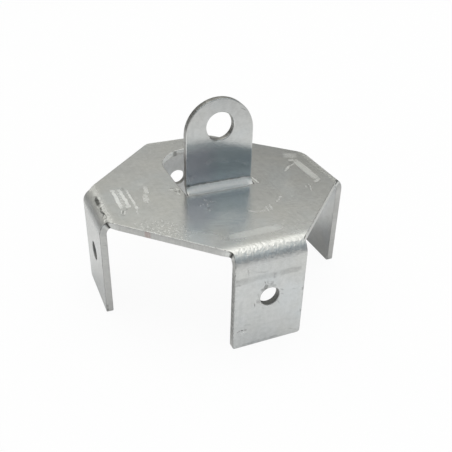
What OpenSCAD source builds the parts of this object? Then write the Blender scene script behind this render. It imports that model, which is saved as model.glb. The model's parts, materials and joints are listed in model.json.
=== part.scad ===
// Post-top hanger bracket folded from one piece of sheet steel.
// A square plate with its corners cut off sits on the end of a timber.
// Four legs fold down over the faces of the timber and are screwed to it.
// A lug cut out of the plate folds up and takes a bolt or pin.
// Millimetres.  +Z is up, the front leg faces -Y, and the origin is on the
// ground in the middle of the four feet.

/* [Timber] */
// Width of the square timber end that the legs close round
timber_w = 90; // [84:1:140]
// Play between the timber and the two legs on opposite sides of it
timber_play = 1; // [0.5:0.5:3]

/* [Sheet] */
// Thickness of the sheet
sheet_t = 2.5; // [1.5:0.25:3.5]
// Inside radius of the bends at the top of the legs
leg_bend_r = 2.5; // [1:0.25:4]
// Inside radius of the bend at the foot of the lug
lug_bend_r = 2.5; // [1.5:0.25:3.5]

/* [Legs] */
// Width of each leg
leg_w = 26; // [20:1:40]
// Length of each leg, from the top of the plate to the foot
leg_len = 38.5; // [32:0.5:70]
// How far in from the face of a leg the slanting edge of the plate meets its side
slant_in = 2.65; // [1:0.05:6]
// Rounding of the two corners of each foot
foot_r = 1; // [0.5:0.25:4]
// Diameter of the screw hole in each leg
screw_hole_d = 7; // [4:0.5:9]
// Height of the screw holes above the foot
screw_hole_up = 19.4; // [12:0.1:24]

/* [Lug] */
// Width of the lug
lug_w = 26; // [20:1:32]
// Height of the lug above the plate
lug_h = 34.3; // [28:0.1:38]
// How far the front face of the lug stands in front of the middle of the plate
lug_forward = 3; // [1:0.5:8]
// Diameter of the bolt hole in the lug
bolt_hole_d = 10.5; // [6:0.5:13]
// Metal left between the bolt hole and the top of the lug
bolt_hole_edge = 5; // [3:0.5:8]

/* [Window] */
// Width of the cut along each side of the lug
side_cut = 1.1; // [0.4:0.1:2]
// Width of the cut round the tip of the lug before it is folded up
tip_cut = 1.7; // [0.5:0.1:3]

/* [Hidden] */
$fn = 96;

inner_half = (timber_w + timber_play) / 2;
outer_half = inner_half + sheet_t;
leg_bend_out = leg_bend_r + sheet_t;
// distance from the middle to where the plate starts to bend
plate_half = outer_half - leg_bend_out;
plate_top = leg_len;
plate_under = plate_top - sheet_t;
// the slanting edges of the plate lie on |x| + |y| = slant
slant = outer_half - slant_in + leg_w / 2;

lug_front = -lug_forward;
lug_back = lug_front + sheet_t;
lug_bend_out = lug_bend_r + sheet_t;
// where the plate starts to bend up into the lug
lug_bend_y = lug_front - lug_bend_r;
lug_top = plate_top + lug_h;
bolt_hole_z = lug_top - bolt_hole_edge - bolt_hole_d / 2;
// length of the lug before folding, measured in the middle of the sheet
lug_flat = lug_h - lug_bend_r + (lug_bend_r + sheet_t / 2) * PI / 2;
window_half = lug_w / 2 + side_cut;
window_end = lug_bend_y + lug_flat + tip_cut;

// cutters run past the faces they cut by this much
over = 1;

// outline of the whole bracket seen from above
module plan_outline() {
    union() {
        intersection() {
            square(2 * outer_half, center = true);
            rotate(45) square(slant * sqrt(2), center = true);
        }
        square([2 * outer_half, leg_w], center = true);
        square([leg_w, 2 * outer_half], center = true);
    }
}

// the hole the lug leaves in the plate: square at the bend, round at the tip
module window_outline() {
    translate([-window_half, lug_bend_y])
        square([2 * window_half, window_end - window_half - lug_bend_y]);
    translate([0, window_end - window_half]) circle(window_half);
}

// end view of two opposite legs and the plate between them, ground at y = 0
module leg_pair_profile() {
    difference() {
        channel_outline(outer_half, plate_top, leg_bend_out);
        translate([0, -over])
            channel_outline(inner_half, plate_under + over, leg_bend_r);
    }
}

// a rectangle standing on y = 0 with its two upper corners rounded
module channel_outline(half, high, r) {
    translate([-half, 0]) square([2 * half, high - r]);
    translate([-(half - r), 0]) square([2 * (half - r), high]);
    for (side = [-1, 1])
        translate([side * (half - r), high - r]) circle(r);
}

// the two legs that face -Y and +Y, with the plate between them, wide enough
// to take in the slanting edges where they run on over the bend
module leg_pair() {
    rotate([90, 0, 90])
        linear_extrude(leg_w + 2 * leg_bend_out, center = true)
            leg_pair_profile();
}

// what is taken off one square corner to round it, corner at the origin
module corner_offcut() {
    difference() {
        translate([-over, -over]) square(foot_r + over);
        translate([foot_r, foot_r]) circle(foot_r);
    }
}

// rounds the corners of the front and back feet
module foot_rounding() {
    for (side = [0, 1])
        mirror([side, 0, 0])
            translate([-leg_w / 2, outer_half + over, 0])
                rotate([90, 0, 0])
                    linear_extrude(2 * (outer_half + over)) corner_offcut();
}

// screw hole through the front and back legs
module screw_holes() {
    translate([0, outer_half + over, screw_hole_up])
        rotate([90, 0, 0])
            cylinder(d = screw_hole_d, h = 2 * (outer_half + over));
}

// upright part of the lug above its bend, with its round top
module lug_blade() {
    round_z = lug_top - lug_w / 2;
    foot_z = plate_top + lug_bend_r;
    translate([-lug_w / 2, lug_front, foot_z])
        cube([lug_w, sheet_t, round_z - foot_z]);
    translate([0, lug_back, round_z])
        rotate([90, 0, 0]) cylinder(d = lug_w, h = sheet_t);
}

// quarter bend that joins the lug to the plate
module lug_bend() {
    centre_z = plate_top + lug_bend_r;
    translate([0, lug_bend_y, centre_z])
        rotate([0, 90, 0])
            linear_extrude(lug_w, center = true)
                intersection() {
                    difference() {
                        circle(lug_bend_out);
                        circle(lug_bend_r);
                    }
                    square(lug_bend_out + over);
                }
}

module bolt_hole() {
    translate([0, lug_back + over, bolt_hole_z])
        rotate([90, 0, 0])
            cylinder(d = bolt_hole_d, h = sheet_t + 2 * over);
}

// plate and four legs, cut to the outline seen from above
module folded_sheet() {
    intersection() {
        union() {
            translate([0, 0, plate_under])
                linear_extrude(sheet_t)
                    square(2 * plate_half, center = true);
            leg_pair();
            rotate(90) leg_pair();
        }
        linear_extrude(plate_top) plan_outline();
    }
}

module bracket() {
    color("silver")
    difference() {
        union() {
            difference() {
                folded_sheet();
                translate([0, 0, plate_under - over])
                    linear_extrude(sheet_t + 2 * over) window_outline();
                for (turn = [0, 90])
                    rotate(turn) {
                        foot_rounding();
                        screw_holes();
                    }
            }
            lug_bend();
            lug_blade();
        }
        bolt_hole();
    }
}

bracket();
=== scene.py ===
"""Hanger bracket for the end of a timber, folded from one sheet of zinc-plated steel.

The bracket is made the way a press shop makes it.  A flat blank is cut out with its
screw holes, its bolt hole and the cut round its lug.  Its sheared edges are rolled over
a little, then the legs are folded down and the lug is folded up.  The plating carries
the marks of the press tools, of handling and of the folds.  Some light and shade is
painted into its colour as well: highlights on the crests of the bends, on the rolled
corners of the lug and the window and in glints at the front left, a sheen on the lug's
bend, and shade in the corners, the holes, on cut walls and low on the lug.
"""

import json
import logging
import math
from collections.abc import Iterable, Sequence
from dataclasses import dataclass, field
from enum import Enum
from functools import partial, reduce

import bmesh
import bpy
from mathutils import Matrix, Vector


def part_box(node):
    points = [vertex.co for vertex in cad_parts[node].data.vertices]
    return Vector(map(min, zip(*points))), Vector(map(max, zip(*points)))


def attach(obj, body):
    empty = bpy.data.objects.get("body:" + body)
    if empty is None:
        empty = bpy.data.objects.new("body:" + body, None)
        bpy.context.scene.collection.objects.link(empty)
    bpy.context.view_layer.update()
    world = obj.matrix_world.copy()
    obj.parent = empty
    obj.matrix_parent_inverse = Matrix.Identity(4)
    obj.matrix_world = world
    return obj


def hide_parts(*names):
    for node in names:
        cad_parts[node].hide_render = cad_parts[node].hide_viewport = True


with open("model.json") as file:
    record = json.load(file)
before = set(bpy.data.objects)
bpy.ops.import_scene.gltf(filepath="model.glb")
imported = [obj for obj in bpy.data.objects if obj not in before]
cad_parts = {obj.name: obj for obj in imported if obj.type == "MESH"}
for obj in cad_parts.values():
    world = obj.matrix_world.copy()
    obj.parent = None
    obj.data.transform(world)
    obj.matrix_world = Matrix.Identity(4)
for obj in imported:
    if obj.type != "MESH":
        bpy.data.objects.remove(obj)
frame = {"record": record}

LOG = logging.getLogger("bracket")
MM = 0.001
CAD_NODE = "bracket"
BODY = "root"


class Leg(Enum):
    """The four legs, each with the quarter turns that bring the +X leg round to it."""

    RIGHT = 0
    BACK = 1
    LEFT = 2
    FRONT = 3

    @property
    def turn(self) -> float:
        """Angle about +Z, in radians, from the +X leg to this one."""
        return self.value * math.pi / 2


class FoldWay(Enum):
    """Which way a flap of the flat blank is folded."""

    UP = 1.0
    DOWN = -1.0


@dataclass(frozen=True)
class Corner:
    """One corner of an outline, rounded by an arc.

    Attributes:
        x: First coordinate.
        y: Second coordinate.
        radius: Radius of the arc, or 0 for a sharp corner.
    """

    x: float
    y: float
    radius: float = 0.0


def rounded_outline(corners: Sequence[Corner], step: float = math.radians(7)) -> list[Vector]:
    """Runs an outline round its corners, with an arc at each rounded one.

    Args:
        corners: The corners in order round the outline.
        step: Largest angle between two points of an arc.

    Returns:
        The outline's points, in the same order, with none repeated.
    """
    points: list[Vector] = []
    for index, corner in enumerate(corners):
        here = Vector((corner.x, corner.y))
        before = corners[index - 1]
        after = corners[(index + 1) % len(corners)]
        way_in = (here - Vector((before.x, before.y))).normalized()
        way_out = (Vector((after.x, after.y)) - here).normalized()
        turn = math.atan2(way_in.x * way_out.y - way_in.y * way_out.x, way_in.dot(way_out))
        if corner.radius == 0.0 or abs(turn) < 1e-6:
            points.append(here)
            continue
        side = math.copysign(1.0, turn)
        start = here - way_in * corner.radius * math.tan(abs(turn) / 2)
        centre = start + Vector((-way_in.y, way_in.x)) * side * corner.radius
        count = max(2, math.ceil(abs(turn) / step))
        spoke = start - centre
        for stop in range(count + 1):
            points.append(centre + turned(spoke, turn * stop / count))
    kept = [p for p, q in zip(points, points[1:] + points[:1]) if (p - q).length > 1e-6]
    return kept


def turned(point: Vector, angle: float) -> Vector:
    """Turns a flat point about the origin by an angle in radians."""
    cos, sin = math.cos(angle), math.sin(angle)
    return Vector((point.x * cos - point.y * sin, point.x * sin + point.y * cos))


def circle_outline(centre: Vector, radius: float, count: int = 96) -> list[Vector]:
    """Points round a circle, clockwise, as the edge of a hole."""
    spoke = Vector((radius, 0.0))
    return [centre + turned(spoke, -math.tau * i / count) for i in range(count)]


def inset(outline: Sequence[Vector], distance: float) -> list[Vector]:
    """Moves an outline to its left by a distance, into the metal.

    Args:
        outline: Points with the metal on their left, so holes run clockwise.
        distance: How far each side moves.

    Returns:
        One moved point for each point of the outline.
    """
    moved = []
    for index, here in enumerate(outline):
        way_in = (here - outline[index - 1]).normalized()
        way_out = (outline[(index + 1) % len(outline)] - here).normalized()
        left = Vector((-way_in.y - way_out.y, way_in.x + way_out.x)).normalized()
        share = left.dot(Vector((-way_in.y, way_in.x)))
        moved.append(here + left * distance / share)
    return moved


@dataclass(frozen=True)
class ShearedEdge:
    """Section of a sheared edge of the sheet, from the top face round to the underside.

    Attributes:
        top_run: How far the rolled upper corner reaches into the top face.
        top_drop: How far it reaches down the cut.
        under_run: How far the lower corner reaches into the underside.
        under_drop: How far it reaches up the cut.
        steps: Facets round each corner.
        border: Width of the flat strip beside each corner, which keeps the face's shading flat.
    """

    top_run: float = 0.34 * MM
    top_drop: float = 0.24 * MM
    under_run: float = 0.14 * MM
    under_drop: float = 0.12 * MM
    steps: int = 5
    border: float = 0.04 * MM

    def section(self, thickness: float) -> list[tuple[float, float, float]]:
        """Gives the section's points.

        Args:
            thickness: Thickness of the sheet.

        Returns:
            For each point, its distance in from the cut, its height with the top face at 0,
            and how much it belongs to the cut, from 0 on the face to 1 on the wall.
        """
        quarter = [i / self.steps * math.pi / 2 for i in range(self.steps + 1)]
        upper = [
            (self.top_run * (1 - math.sin(a)), -self.top_drop * (1 - math.cos(a)), math.sin(a))
            for a in quarter
        ]
        lower = [
            (
                self.under_run * (1 - math.sin(a)),
                self.under_drop * (1 - math.cos(a)) - thickness,
                math.sin(a),
            )
            for a in reversed(quarter)
        ]
        first = (self.top_run + self.border, 0.0, 0.0)
        last = (self.under_run + self.border, -thickness, 0.0)
        return [first, *upper, *lower, last]


@dataclass
class SheetSizes:
    """Sizes of the bracket, in metres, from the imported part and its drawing.

    Attributes:
        outer_half: From the middle to the outer face of a leg.
        plate_top: Height of the plate's top face.
        lug_height: Height of the lug above the plate.
        thickness: Thickness of the sheet.
        leg_bend: Inside radius of the bends of the legs.
        lug_bend: Inside radius of the bend of the lug.
        neutral: Share of the thickness, from the inside of a bend, that keeps its length.
        leg_width: Width of a leg.
        slant_in: From a leg's outer face to where the plate's slanting edge meets its side.
        foot_round: Rounding of the corners of a foot.
        shoulder_round: Rounding of the corner where a slanting edge starts to bend.
        notch_round: Rounding of the inner corner beside each leg.
        screw_hole: Radius of a screw hole.
        screw_height: Height of a screw hole above the foot.
        lug_width: Width of the lug.
        lug_front: Place of the lug's front face along Y.
        bolt_hole: Radius of the bolt hole.
        bolt_height: Height of the bolt hole above the plate.
        side_cut: Width of the cut beside the lug.
        root_cut: Width of that cut where it ends at the bend of the lug.
        root_run: From that end to where the cut has its full width.
        tip_cut: Width of the cut round the lug's tip.
    """

    outer_half: float
    plate_top: float
    lug_height: float
    screw_hole: float
    screw_height: float
    lug_front: float
    bolt_hole: float
    bolt_height: float
    thickness: float = 2.5 * MM
    leg_bend: float = 2.5 * MM
    lug_bend: float = 2.5 * MM
    neutral: float = 0.5
    leg_width: float = 26 * MM
    slant_in: float = 2.65 * MM
    foot_round: float = 1.0 * MM
    shoulder_round: float = 1.6 * MM
    notch_round: float = 0.5 * MM
    lug_width: float = 26 * MM
    side_cut: float = 1.1 * MM
    root_cut: float = 0.7 * MM
    root_run: float = 14 * MM
    tip_cut: float = 1.7 * MM

    @classmethod
    def from_frame(cls, thickness: float = 2.5 * MM, plate_top: float = 38.5 * MM) -> "SheetSizes":
        """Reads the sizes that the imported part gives.

        Args:
            thickness: Thickness of the sheet.
            plate_top: Height of the plate's top face above the feet.

        Returns:
            The sizes, with the drawing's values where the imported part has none.
        """
        _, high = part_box(CAD_NODE)
        mounts = {mount["name"]: mount for mount in frame["record"]["mounts"]}
        bolt = mounts["lug_hole"]
        screw = mounts["front_leg_hole"]
        return cls(
            outer_half=high.x,
            plate_top=plate_top,
            lug_height=high.z - plate_top,
            screw_hole=screw["dims"]["r_mm"] * MM,
            screw_height=screw["pos_m"][2],
            lug_front=bolt["pos_m"][1] - thickness / 2,
            bolt_hole=bolt["dims"]["r_mm"] * MM,
            bolt_height=bolt["pos_m"][2] - plate_top,
            thickness=thickness,
        )

    @property
    def leg_line(self) -> float:
        """From the middle to where the plate starts to bend into a leg."""
        return self.outer_half - self.leg_bend - self.thickness

    @property
    def leg_arc(self) -> float:
        """Length of flat sheet that goes into the bend of a leg."""
        return (self.leg_bend + self.neutral * self.thickness) * math.pi / 2

    @property
    def leg_end(self) -> float:
        """From the middle to the foot of a leg on the flat blank."""
        straight = self.plate_top - self.leg_bend - self.thickness
        return self.leg_line + self.leg_arc + straight

    @property
    def lug_line(self) -> float:
        """Place along Y where the plate starts to bend into the lug."""
        return self.lug_front - self.lug_bend

    @property
    def lug_arc(self) -> float:
        """Length of flat sheet that goes into the bend of the lug."""
        return (self.lug_bend + self.neutral * self.thickness) * math.pi / 2

    def on_leg_blank(self, height: float) -> float:
        """From the middle to a point on the flat blank that ends up at a height on a leg."""
        return self.leg_end - height

    def on_lug_blank(self, height: float) -> float:
        """Place along Y, on the flat blank, of a point that ends up this high on the lug."""
        return self.lug_line + self.lug_arc + height - self.lug_bend


@dataclass
class NodeTree:
    """A node tree being built, with short ways to add and join its nodes.

    Attributes:
        tree: The tree.
        column: How many nodes have been set out in it.
    """

    tree: bpy.types.NodeTree
    column: int = 0

    def add(self, kind: str, **settings: object) -> bpy.types.Node:
        """Adds a node.

        Args:
            kind: The node's type, such as ShaderNodeMath.
            **settings: Properties of the node to set.

        Returns:
            The new node.
        """
        node = self.tree.nodes.new(kind)
        node.location = (self.column % 12 * 190, -(self.column // 12) * 260)
        self.column += 1
        for name, value in settings.items():
            setattr(node, name, value)
        return node

    def feed(self, socket: bpy.types.NodeSocket, source: object) -> None:
        """Joins a socket to another, or sets its value where the source is a plain value.

        Args:
            socket: The input to feed.
            source: The output or value that feeds it, or None to leave it as it is.
        """
        if isinstance(source, bpy.types.NodeSocket):
            self.tree.links.new(source, socket)
        elif source is not None:
            socket.default_value = source

    def math(self, operation: str, *sources: object, clamp: bool = False) -> bpy.types.NodeSocket:
        """Works out one number from others.

        Args:
            operation: The sum to do, such as MULTIPLY_ADD.
            *sources: The one to three numbers that it takes.
            clamp: Whether the result is held between 0 and 1.

        Returns:
            The result.
        """
        node = self.add("ShaderNodeMath", operation=operation, use_clamp=clamp)
        for socket, source in zip(node.inputs, sources):
            self.feed(socket, source)
        return node.outputs[0]

    def times(self, *sources: object) -> bpy.types.NodeSocket:
        """Multiplies two or more numbers."""
        return reduce(partial(self.math, "MULTIPLY"), sources)

    def most(self, *sources: object) -> bpy.types.NodeSocket:
        """Gives the largest of two or more numbers."""
        return reduce(partial(self.math, "MAXIMUM"), sources)

    def rest(self, source: object) -> bpy.types.NodeSocket:
        """What a share leaves of the whole."""
        return self.math("SUBTRACT", 1.0, source)

    def add_shares(self, total: object, *parts: tuple[object, float],
                   clamp: bool = False) -> bpy.types.NodeSocket:
        """Adds a share of each of several numbers to a first one.

        Args:
            total: The first number.
            *parts: Each further number with the share of it that is added.
            clamp: Whether the sum is held between 0 and 1.

        Returns:
            The sum.
        """
        for count, (source, share) in enumerate(parts, 1):
            held = clamp and count == len(parts)
            total = self.math("MULTIPLY_ADD", source, share, total, clamp=held)
        return total

    def vector(self, operation: str, *sources: object) -> bpy.types.Node:
        """Adds a vector sum, product or the like.

        Args:
            operation: What it does, such as DOT_PRODUCT.
            *sources: The vectors that it takes.

        Returns:
            Its node.
        """
        node = self.add("ShaderNodeVectorMath", operation=operation)
        plain = [s for s in node.inputs if s.enabled]
        for socket, source in zip(plain, sources):
            self.feed(socket, source)
        return node

    def ramp(self, value: object, low: float, high: float, to_low: float = 0.0,
             to_high: float = 1.0, smooth: bool = True) -> bpy.types.NodeSocket:
        """Carries a value from one range to another and holds it at the ends.

        Args:
            value: The number or socket to carry over.
            low: Start of the range it is in.
            high: End of that range.
            to_low: What the start becomes.
            to_high: What the end becomes.
            smooth: Whether the ends are eased.

        Returns:
            The carried value.
        """
        kind = "SMOOTHSTEP" if smooth else "LINEAR"
        node = self.add("ShaderNodeMapRange", interpolation_type=kind, clamp=not smooth)
        for name, source in (("Value", value), ("From Min", low), ("From Max", high),
                             ("To Min", to_low), ("To Max", to_high)):
            self.feed(node.inputs[name], source)
        return node.outputs["Result"]

    def noise(self, vector: object, scale: float, detail: float = 2.0,
              roughness: float = 0.5) -> bpy.types.NodeSocket:
        """Adds smooth noise.

        Args:
            vector: The place that it is read at.
            scale: How fine it is.
            detail: How many finer layers it has.
            roughness: How strong those are.

        Returns:
            The noise, from 0 to 1.
        """
        node = self.add("ShaderNodeTexNoise")
        for name, source in (("Vector", vector), ("Scale", scale), ("Detail", detail),
                             ("Roughness", roughness)):
            self.feed(node.inputs[name], source)
        return node.outputs[0]

    def stretch(self, vector: object, scale: Sequence[float], turn: float = 0.0,
                place: Sequence[float] = (0.0, 0.0, 0.0)) -> bpy.types.NodeSocket:
        """Scales, turns about Z and moves a vector, in that order.

        Args:
            vector: The vector.
            scale: Its scale along each axis.
            turn: Its turn, in radians.
            place: How far it is moved.

        Returns:
            The vector's new value.
        """
        node = self.add("ShaderNodeMapping")
        for name, source in (("Vector", vector), ("Scale", tuple(scale)),
                             ("Rotation", (0.0, 0.0, turn)), ("Location", tuple(place))):
            self.feed(node.inputs[name], source)
        return node.outputs[0]

    def mix(self, share: object, first: object, second: object) -> bpy.types.NodeSocket:
        """Mixes two colours.

        Args:
            share: How much of the second there is, from 0 to 1.
            first: The first colour.
            second: The second colour.

        Returns:
            The mixed colour.
        """
        node = self.add("ShaderNodeMix", data_type="RGBA")
        for index, source in ((0, share), (6, first), (7, second)):
            self.feed(node.inputs[index], source)
        return node.outputs[2]

    def group(self, group: bpy.types.NodeTree, kind: str, **values: object) -> bpy.types.Node:
        """Places a node group and feeds its named inputs.

        Args:
            group: The group.
            kind: Type of the node that holds it.
            **values: What its inputs get, with spaces in their names as underscores.

        Returns:
            The node that holds the group.
        """
        node = self.add(kind)
        node.node_tree = group
        for name, source in values.items():
            self.feed(node.inputs[name.replace("_", " ")], source)
        return node


def socket_on(group: bpy.types.NodeTree, name: str, kind: str, way: str = "INPUT",
              default: object = None) -> bpy.types.NodeTreeInterfaceSocket:
    """Makes a named socket on a node group.

    Args:
        group: The group.
        name: The socket's name.
        kind: Float, Vector, Color, Geometry or Material.
        way: INPUT or OUTPUT.
        default: Value that an input has unless it is fed.

    Returns:
        The new socket of the group's interface.
    """
    made = group.interface.new_socket(name=name, in_out=way, socket_type=f"NodeSocket{kind}")
    if default is not None:
        made.default_value = default
    return made


class SheetFolder:
    """Folds the flat blank with Geometry Nodes: one fold for each leg and one for the lug."""

    def __init__(self) -> None:
        """Builds the two node groups."""
        self.fold = self._fold_group()
        self.tree = self._bracket_group()

    def _fold_group(self) -> bpy.types.NodeTree:
        """Builds the group that folds what lies past a line through a right angle.

        Returns:
            The group, which wraps the sheet round the inside radius of the bend.
        """
        group = bpy.data.node_groups.new("Fold past a line", "GeometryNodeTree")
        socket_on(group, "Geometry", "Geometry")
        socket_on(group, "Part", "Float", default=1.0)
        for name in ("Turn", "Line", "Inside Radius", "Thickness", "Neutral", "Way", "Side Bulge",
                     "Half Width"):
            socket_on(group, name, "Float")
        socket_on(group, "Geometry", "Geometry", "OUTPUT")
        nodes = NodeTree(group)
        given = nodes.add("NodeGroupInput")
        result = nodes.add("NodeGroupOutput")
        turn, line = given.outputs["Turn"], given.outputs["Line"]
        radius, thickness = given.outputs["Inside Radius"], given.outputs["Thickness"]
        way = given.outputs["Way"]

        place = nodes.add("GeometryNodeInputPosition").outputs[0]
        level = self._turned(nodes, place, nodes.math("MULTIPLY", turn, -1.0))
        split = nodes.add("ShaderNodeSeparateXYZ")
        nodes.feed(split.inputs[0], level)
        along, across, height = split.outputs

        neutral = nodes.math("MULTIPLY_ADD", given.outputs["Neutral"], thickness, radius)
        arc = nodes.math("MULTIPLY", neutral, math.pi / 2)
        past = nodes.math("MAXIMUM", nodes.math("SUBTRACT", along, line), 0.0)
        share = nodes.math("MINIMUM", nodes.math("DIVIDE", past, arc), 1.0)
        angle = nodes.math("MULTIPLY", share, math.pi / 2)
        beyond = nodes.math("MAXIMUM", nodes.math("SUBTRACT", past, arc), 0.0)
        under = nodes.math("MULTIPLY", nodes.math("SUBTRACT", way, 1.0), 0.5)
        middle = nodes.math(
            "MULTIPLY_ADD", under, thickness, nodes.math("MULTIPLY", way, radius)
        )
        reach = nodes.math("MULTIPLY", nodes.math("SUBTRACT", middle, height), way)
        sin, cos = nodes.math("SINE", angle), nodes.math("COSINE", angle)

        out = nodes.math("MULTIPLY_ADD", reach, sin, nodes.math("MINIMUM", along, line))
        out = nodes.math("MULTIPLY_ADD", beyond, cos, out)
        rise = nodes.math("MULTIPLY", nodes.math("MULTIPLY", reach, cos), -1.0)
        rise = nodes.math("MULTIPLY_ADD", beyond, sin, rise)
        rise = nodes.math("MULTIPLY_ADD", rise, way, middle)

        inner = nodes.math("DIVIDE", nodes.math("SUBTRACT", reach, radius), thickness)
        swell = nodes.math("MULTIPLY", nodes.math("SINE", nodes.math("MULTIPLY", angle, 2.0)),
                           nodes.math("SUBTRACT", 0.6, inner))
        edge = nodes.math("DIVIDE", nodes.math("ABSOLUTE", across), given.outputs["Half Width"])
        swell = nodes.math("MULTIPLY", swell, nodes.math("POWER", edge, 10.0))
        swell = nodes.math("MULTIPLY", swell, nodes.math("SIGN", across))
        across = nodes.math("MULTIPLY_ADD", swell, given.outputs["Side Bulge"], across)

        folded = nodes.add("ShaderNodeCombineXYZ")
        for socket, source in zip(folded.inputs, (out, across, rise)):
            nodes.feed(socket, source)
        put = nodes.add("GeometryNodeSetPosition")
        chosen = nodes.add("FunctionNodeCompare", operation="GREATER_THAN")
        nodes.feed(chosen.inputs[0], given.outputs["Part"])
        nodes.feed(chosen.inputs[1], 0.5)
        nodes.feed(put.inputs["Geometry"], given.outputs["Geometry"])
        nodes.feed(put.inputs["Selection"], chosen.outputs[0])
        nodes.feed(put.inputs["Position"], self._turned(nodes, folded.outputs[0], turn))
        nodes.feed(result.inputs["Geometry"], put.outputs[0])
        return group

    @staticmethod
    def _turned(nodes: NodeTree, vector: object, angle: object) -> bpy.types.NodeSocket:
        """Turns a vector about Z.

        Args:
            nodes: The tree.
            vector: The vector.
            angle: The angle, in radians.

        Returns:
            The turned vector.
        """
        node = nodes.add("ShaderNodeVectorRotate", rotation_type="Z_AXIS")
        nodes.feed(node.inputs["Vector"], vector)
        nodes.feed(node.inputs["Angle"], angle)
        return node.outputs[0]

    def _bracket_group(self) -> bpy.types.NodeTree:
        """Builds the tree that folds the whole blank and stands it on its feet.

        Returns:
            The modifier's tree, with the bracket's sizes as named inputs.
        """
        group = bpy.data.node_groups.new("Fold the bracket", "GeometryNodeTree")
        socket_on(group, "Geometry", "Geometry")
        for name in ("Leg Line", "Leg Bend", "Leg Half Width", "Lug Line", "Lug Bend",
                     "Lug Half Width", "Thickness", "Neutral", "Plate Height", "Side Bulge"):
            socket_on(group, name, "Float")
        socket_on(group, "Plating", "Material")
        socket_on(group, "Geometry", "Geometry", "OUTPUT")
        nodes = NodeTree(group)
        given = nodes.add("NodeGroupInput").outputs
        result = nodes.add("NodeGroupOutput")
        shared = {"Thickness": given["Thickness"], "Neutral": given["Neutral"],
                  "Side_Bulge": given["Side Bulge"]}
        shape = given["Geometry"]
        for leg in Leg:
            step = nodes.group(
                self.fold, "GeometryNodeGroup", Geometry=shape, Turn=leg.turn,
                Line=given["Leg Line"], Inside_Radius=given["Leg Bend"],
                Way=FoldWay.DOWN.value, Half_Width=given["Leg Half Width"], **shared,
            )
            shape = step.outputs[0]
        lug = nodes.add("GeometryNodeInputNamedAttribute", data_type="FLOAT")
        nodes.feed(lug.inputs["Name"], Blank.LUG_PART)
        step = nodes.group(
            self.fold, "GeometryNodeGroup", Geometry=shape, Part=lug.outputs[0],
            Turn=Leg.BACK.turn, Line=given["Lug Line"], Inside_Radius=given["Lug Bend"],
            Way=FoldWay.UP.value, Half_Width=given["Lug Half Width"], **shared,
        )
        lift = nodes.add("ShaderNodeCombineXYZ")
        nodes.feed(lift.inputs[2], given["Plate Height"])
        stand = nodes.add("GeometryNodeTransform")
        nodes.feed(stand.inputs["Geometry"], step.outputs[0])
        nodes.feed(stand.inputs["Translation"], lift.outputs[0])
        real = nodes.add("GeometryNodeRealizeInstances")
        nodes.feed(real.inputs["Geometry"], stand.outputs[0])
        plated = nodes.add("GeometryNodeSetMaterial")
        nodes.feed(plated.inputs["Geometry"], real.outputs[0])
        nodes.feed(plated.inputs["Material"], given["Plating"])
        nodes.feed(result.inputs["Geometry"], plated.outputs[0])
        return group

    def apply(self, piece: bpy.types.Object, values: dict[str, object]) -> None:
        """Folds a piece and leaves the result as its plain mesh.

        Args:
            piece: The flat blank.
            values: What the tree's named inputs are set to.
        """
        folder = piece.modifiers.new("Fold", "NODES")
        folder.node_group = self.tree
        for item in self.tree.interface.items_tree:
            if item.in_out == "INPUT" and item.name in values:
                folder[item.identifier] = values[item.name]
        piece.update_tag()
        bpy.context.view_layer.update()
        graph = bpy.context.evaluated_depsgraph_get()
        folded = bpy.data.meshes.new_from_object(
            piece.evaluated_get(graph), preserve_all_data_layers=True, depsgraph=graph
        )
        piece.modifiers.remove(folder)
        piece.data = folded


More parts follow.
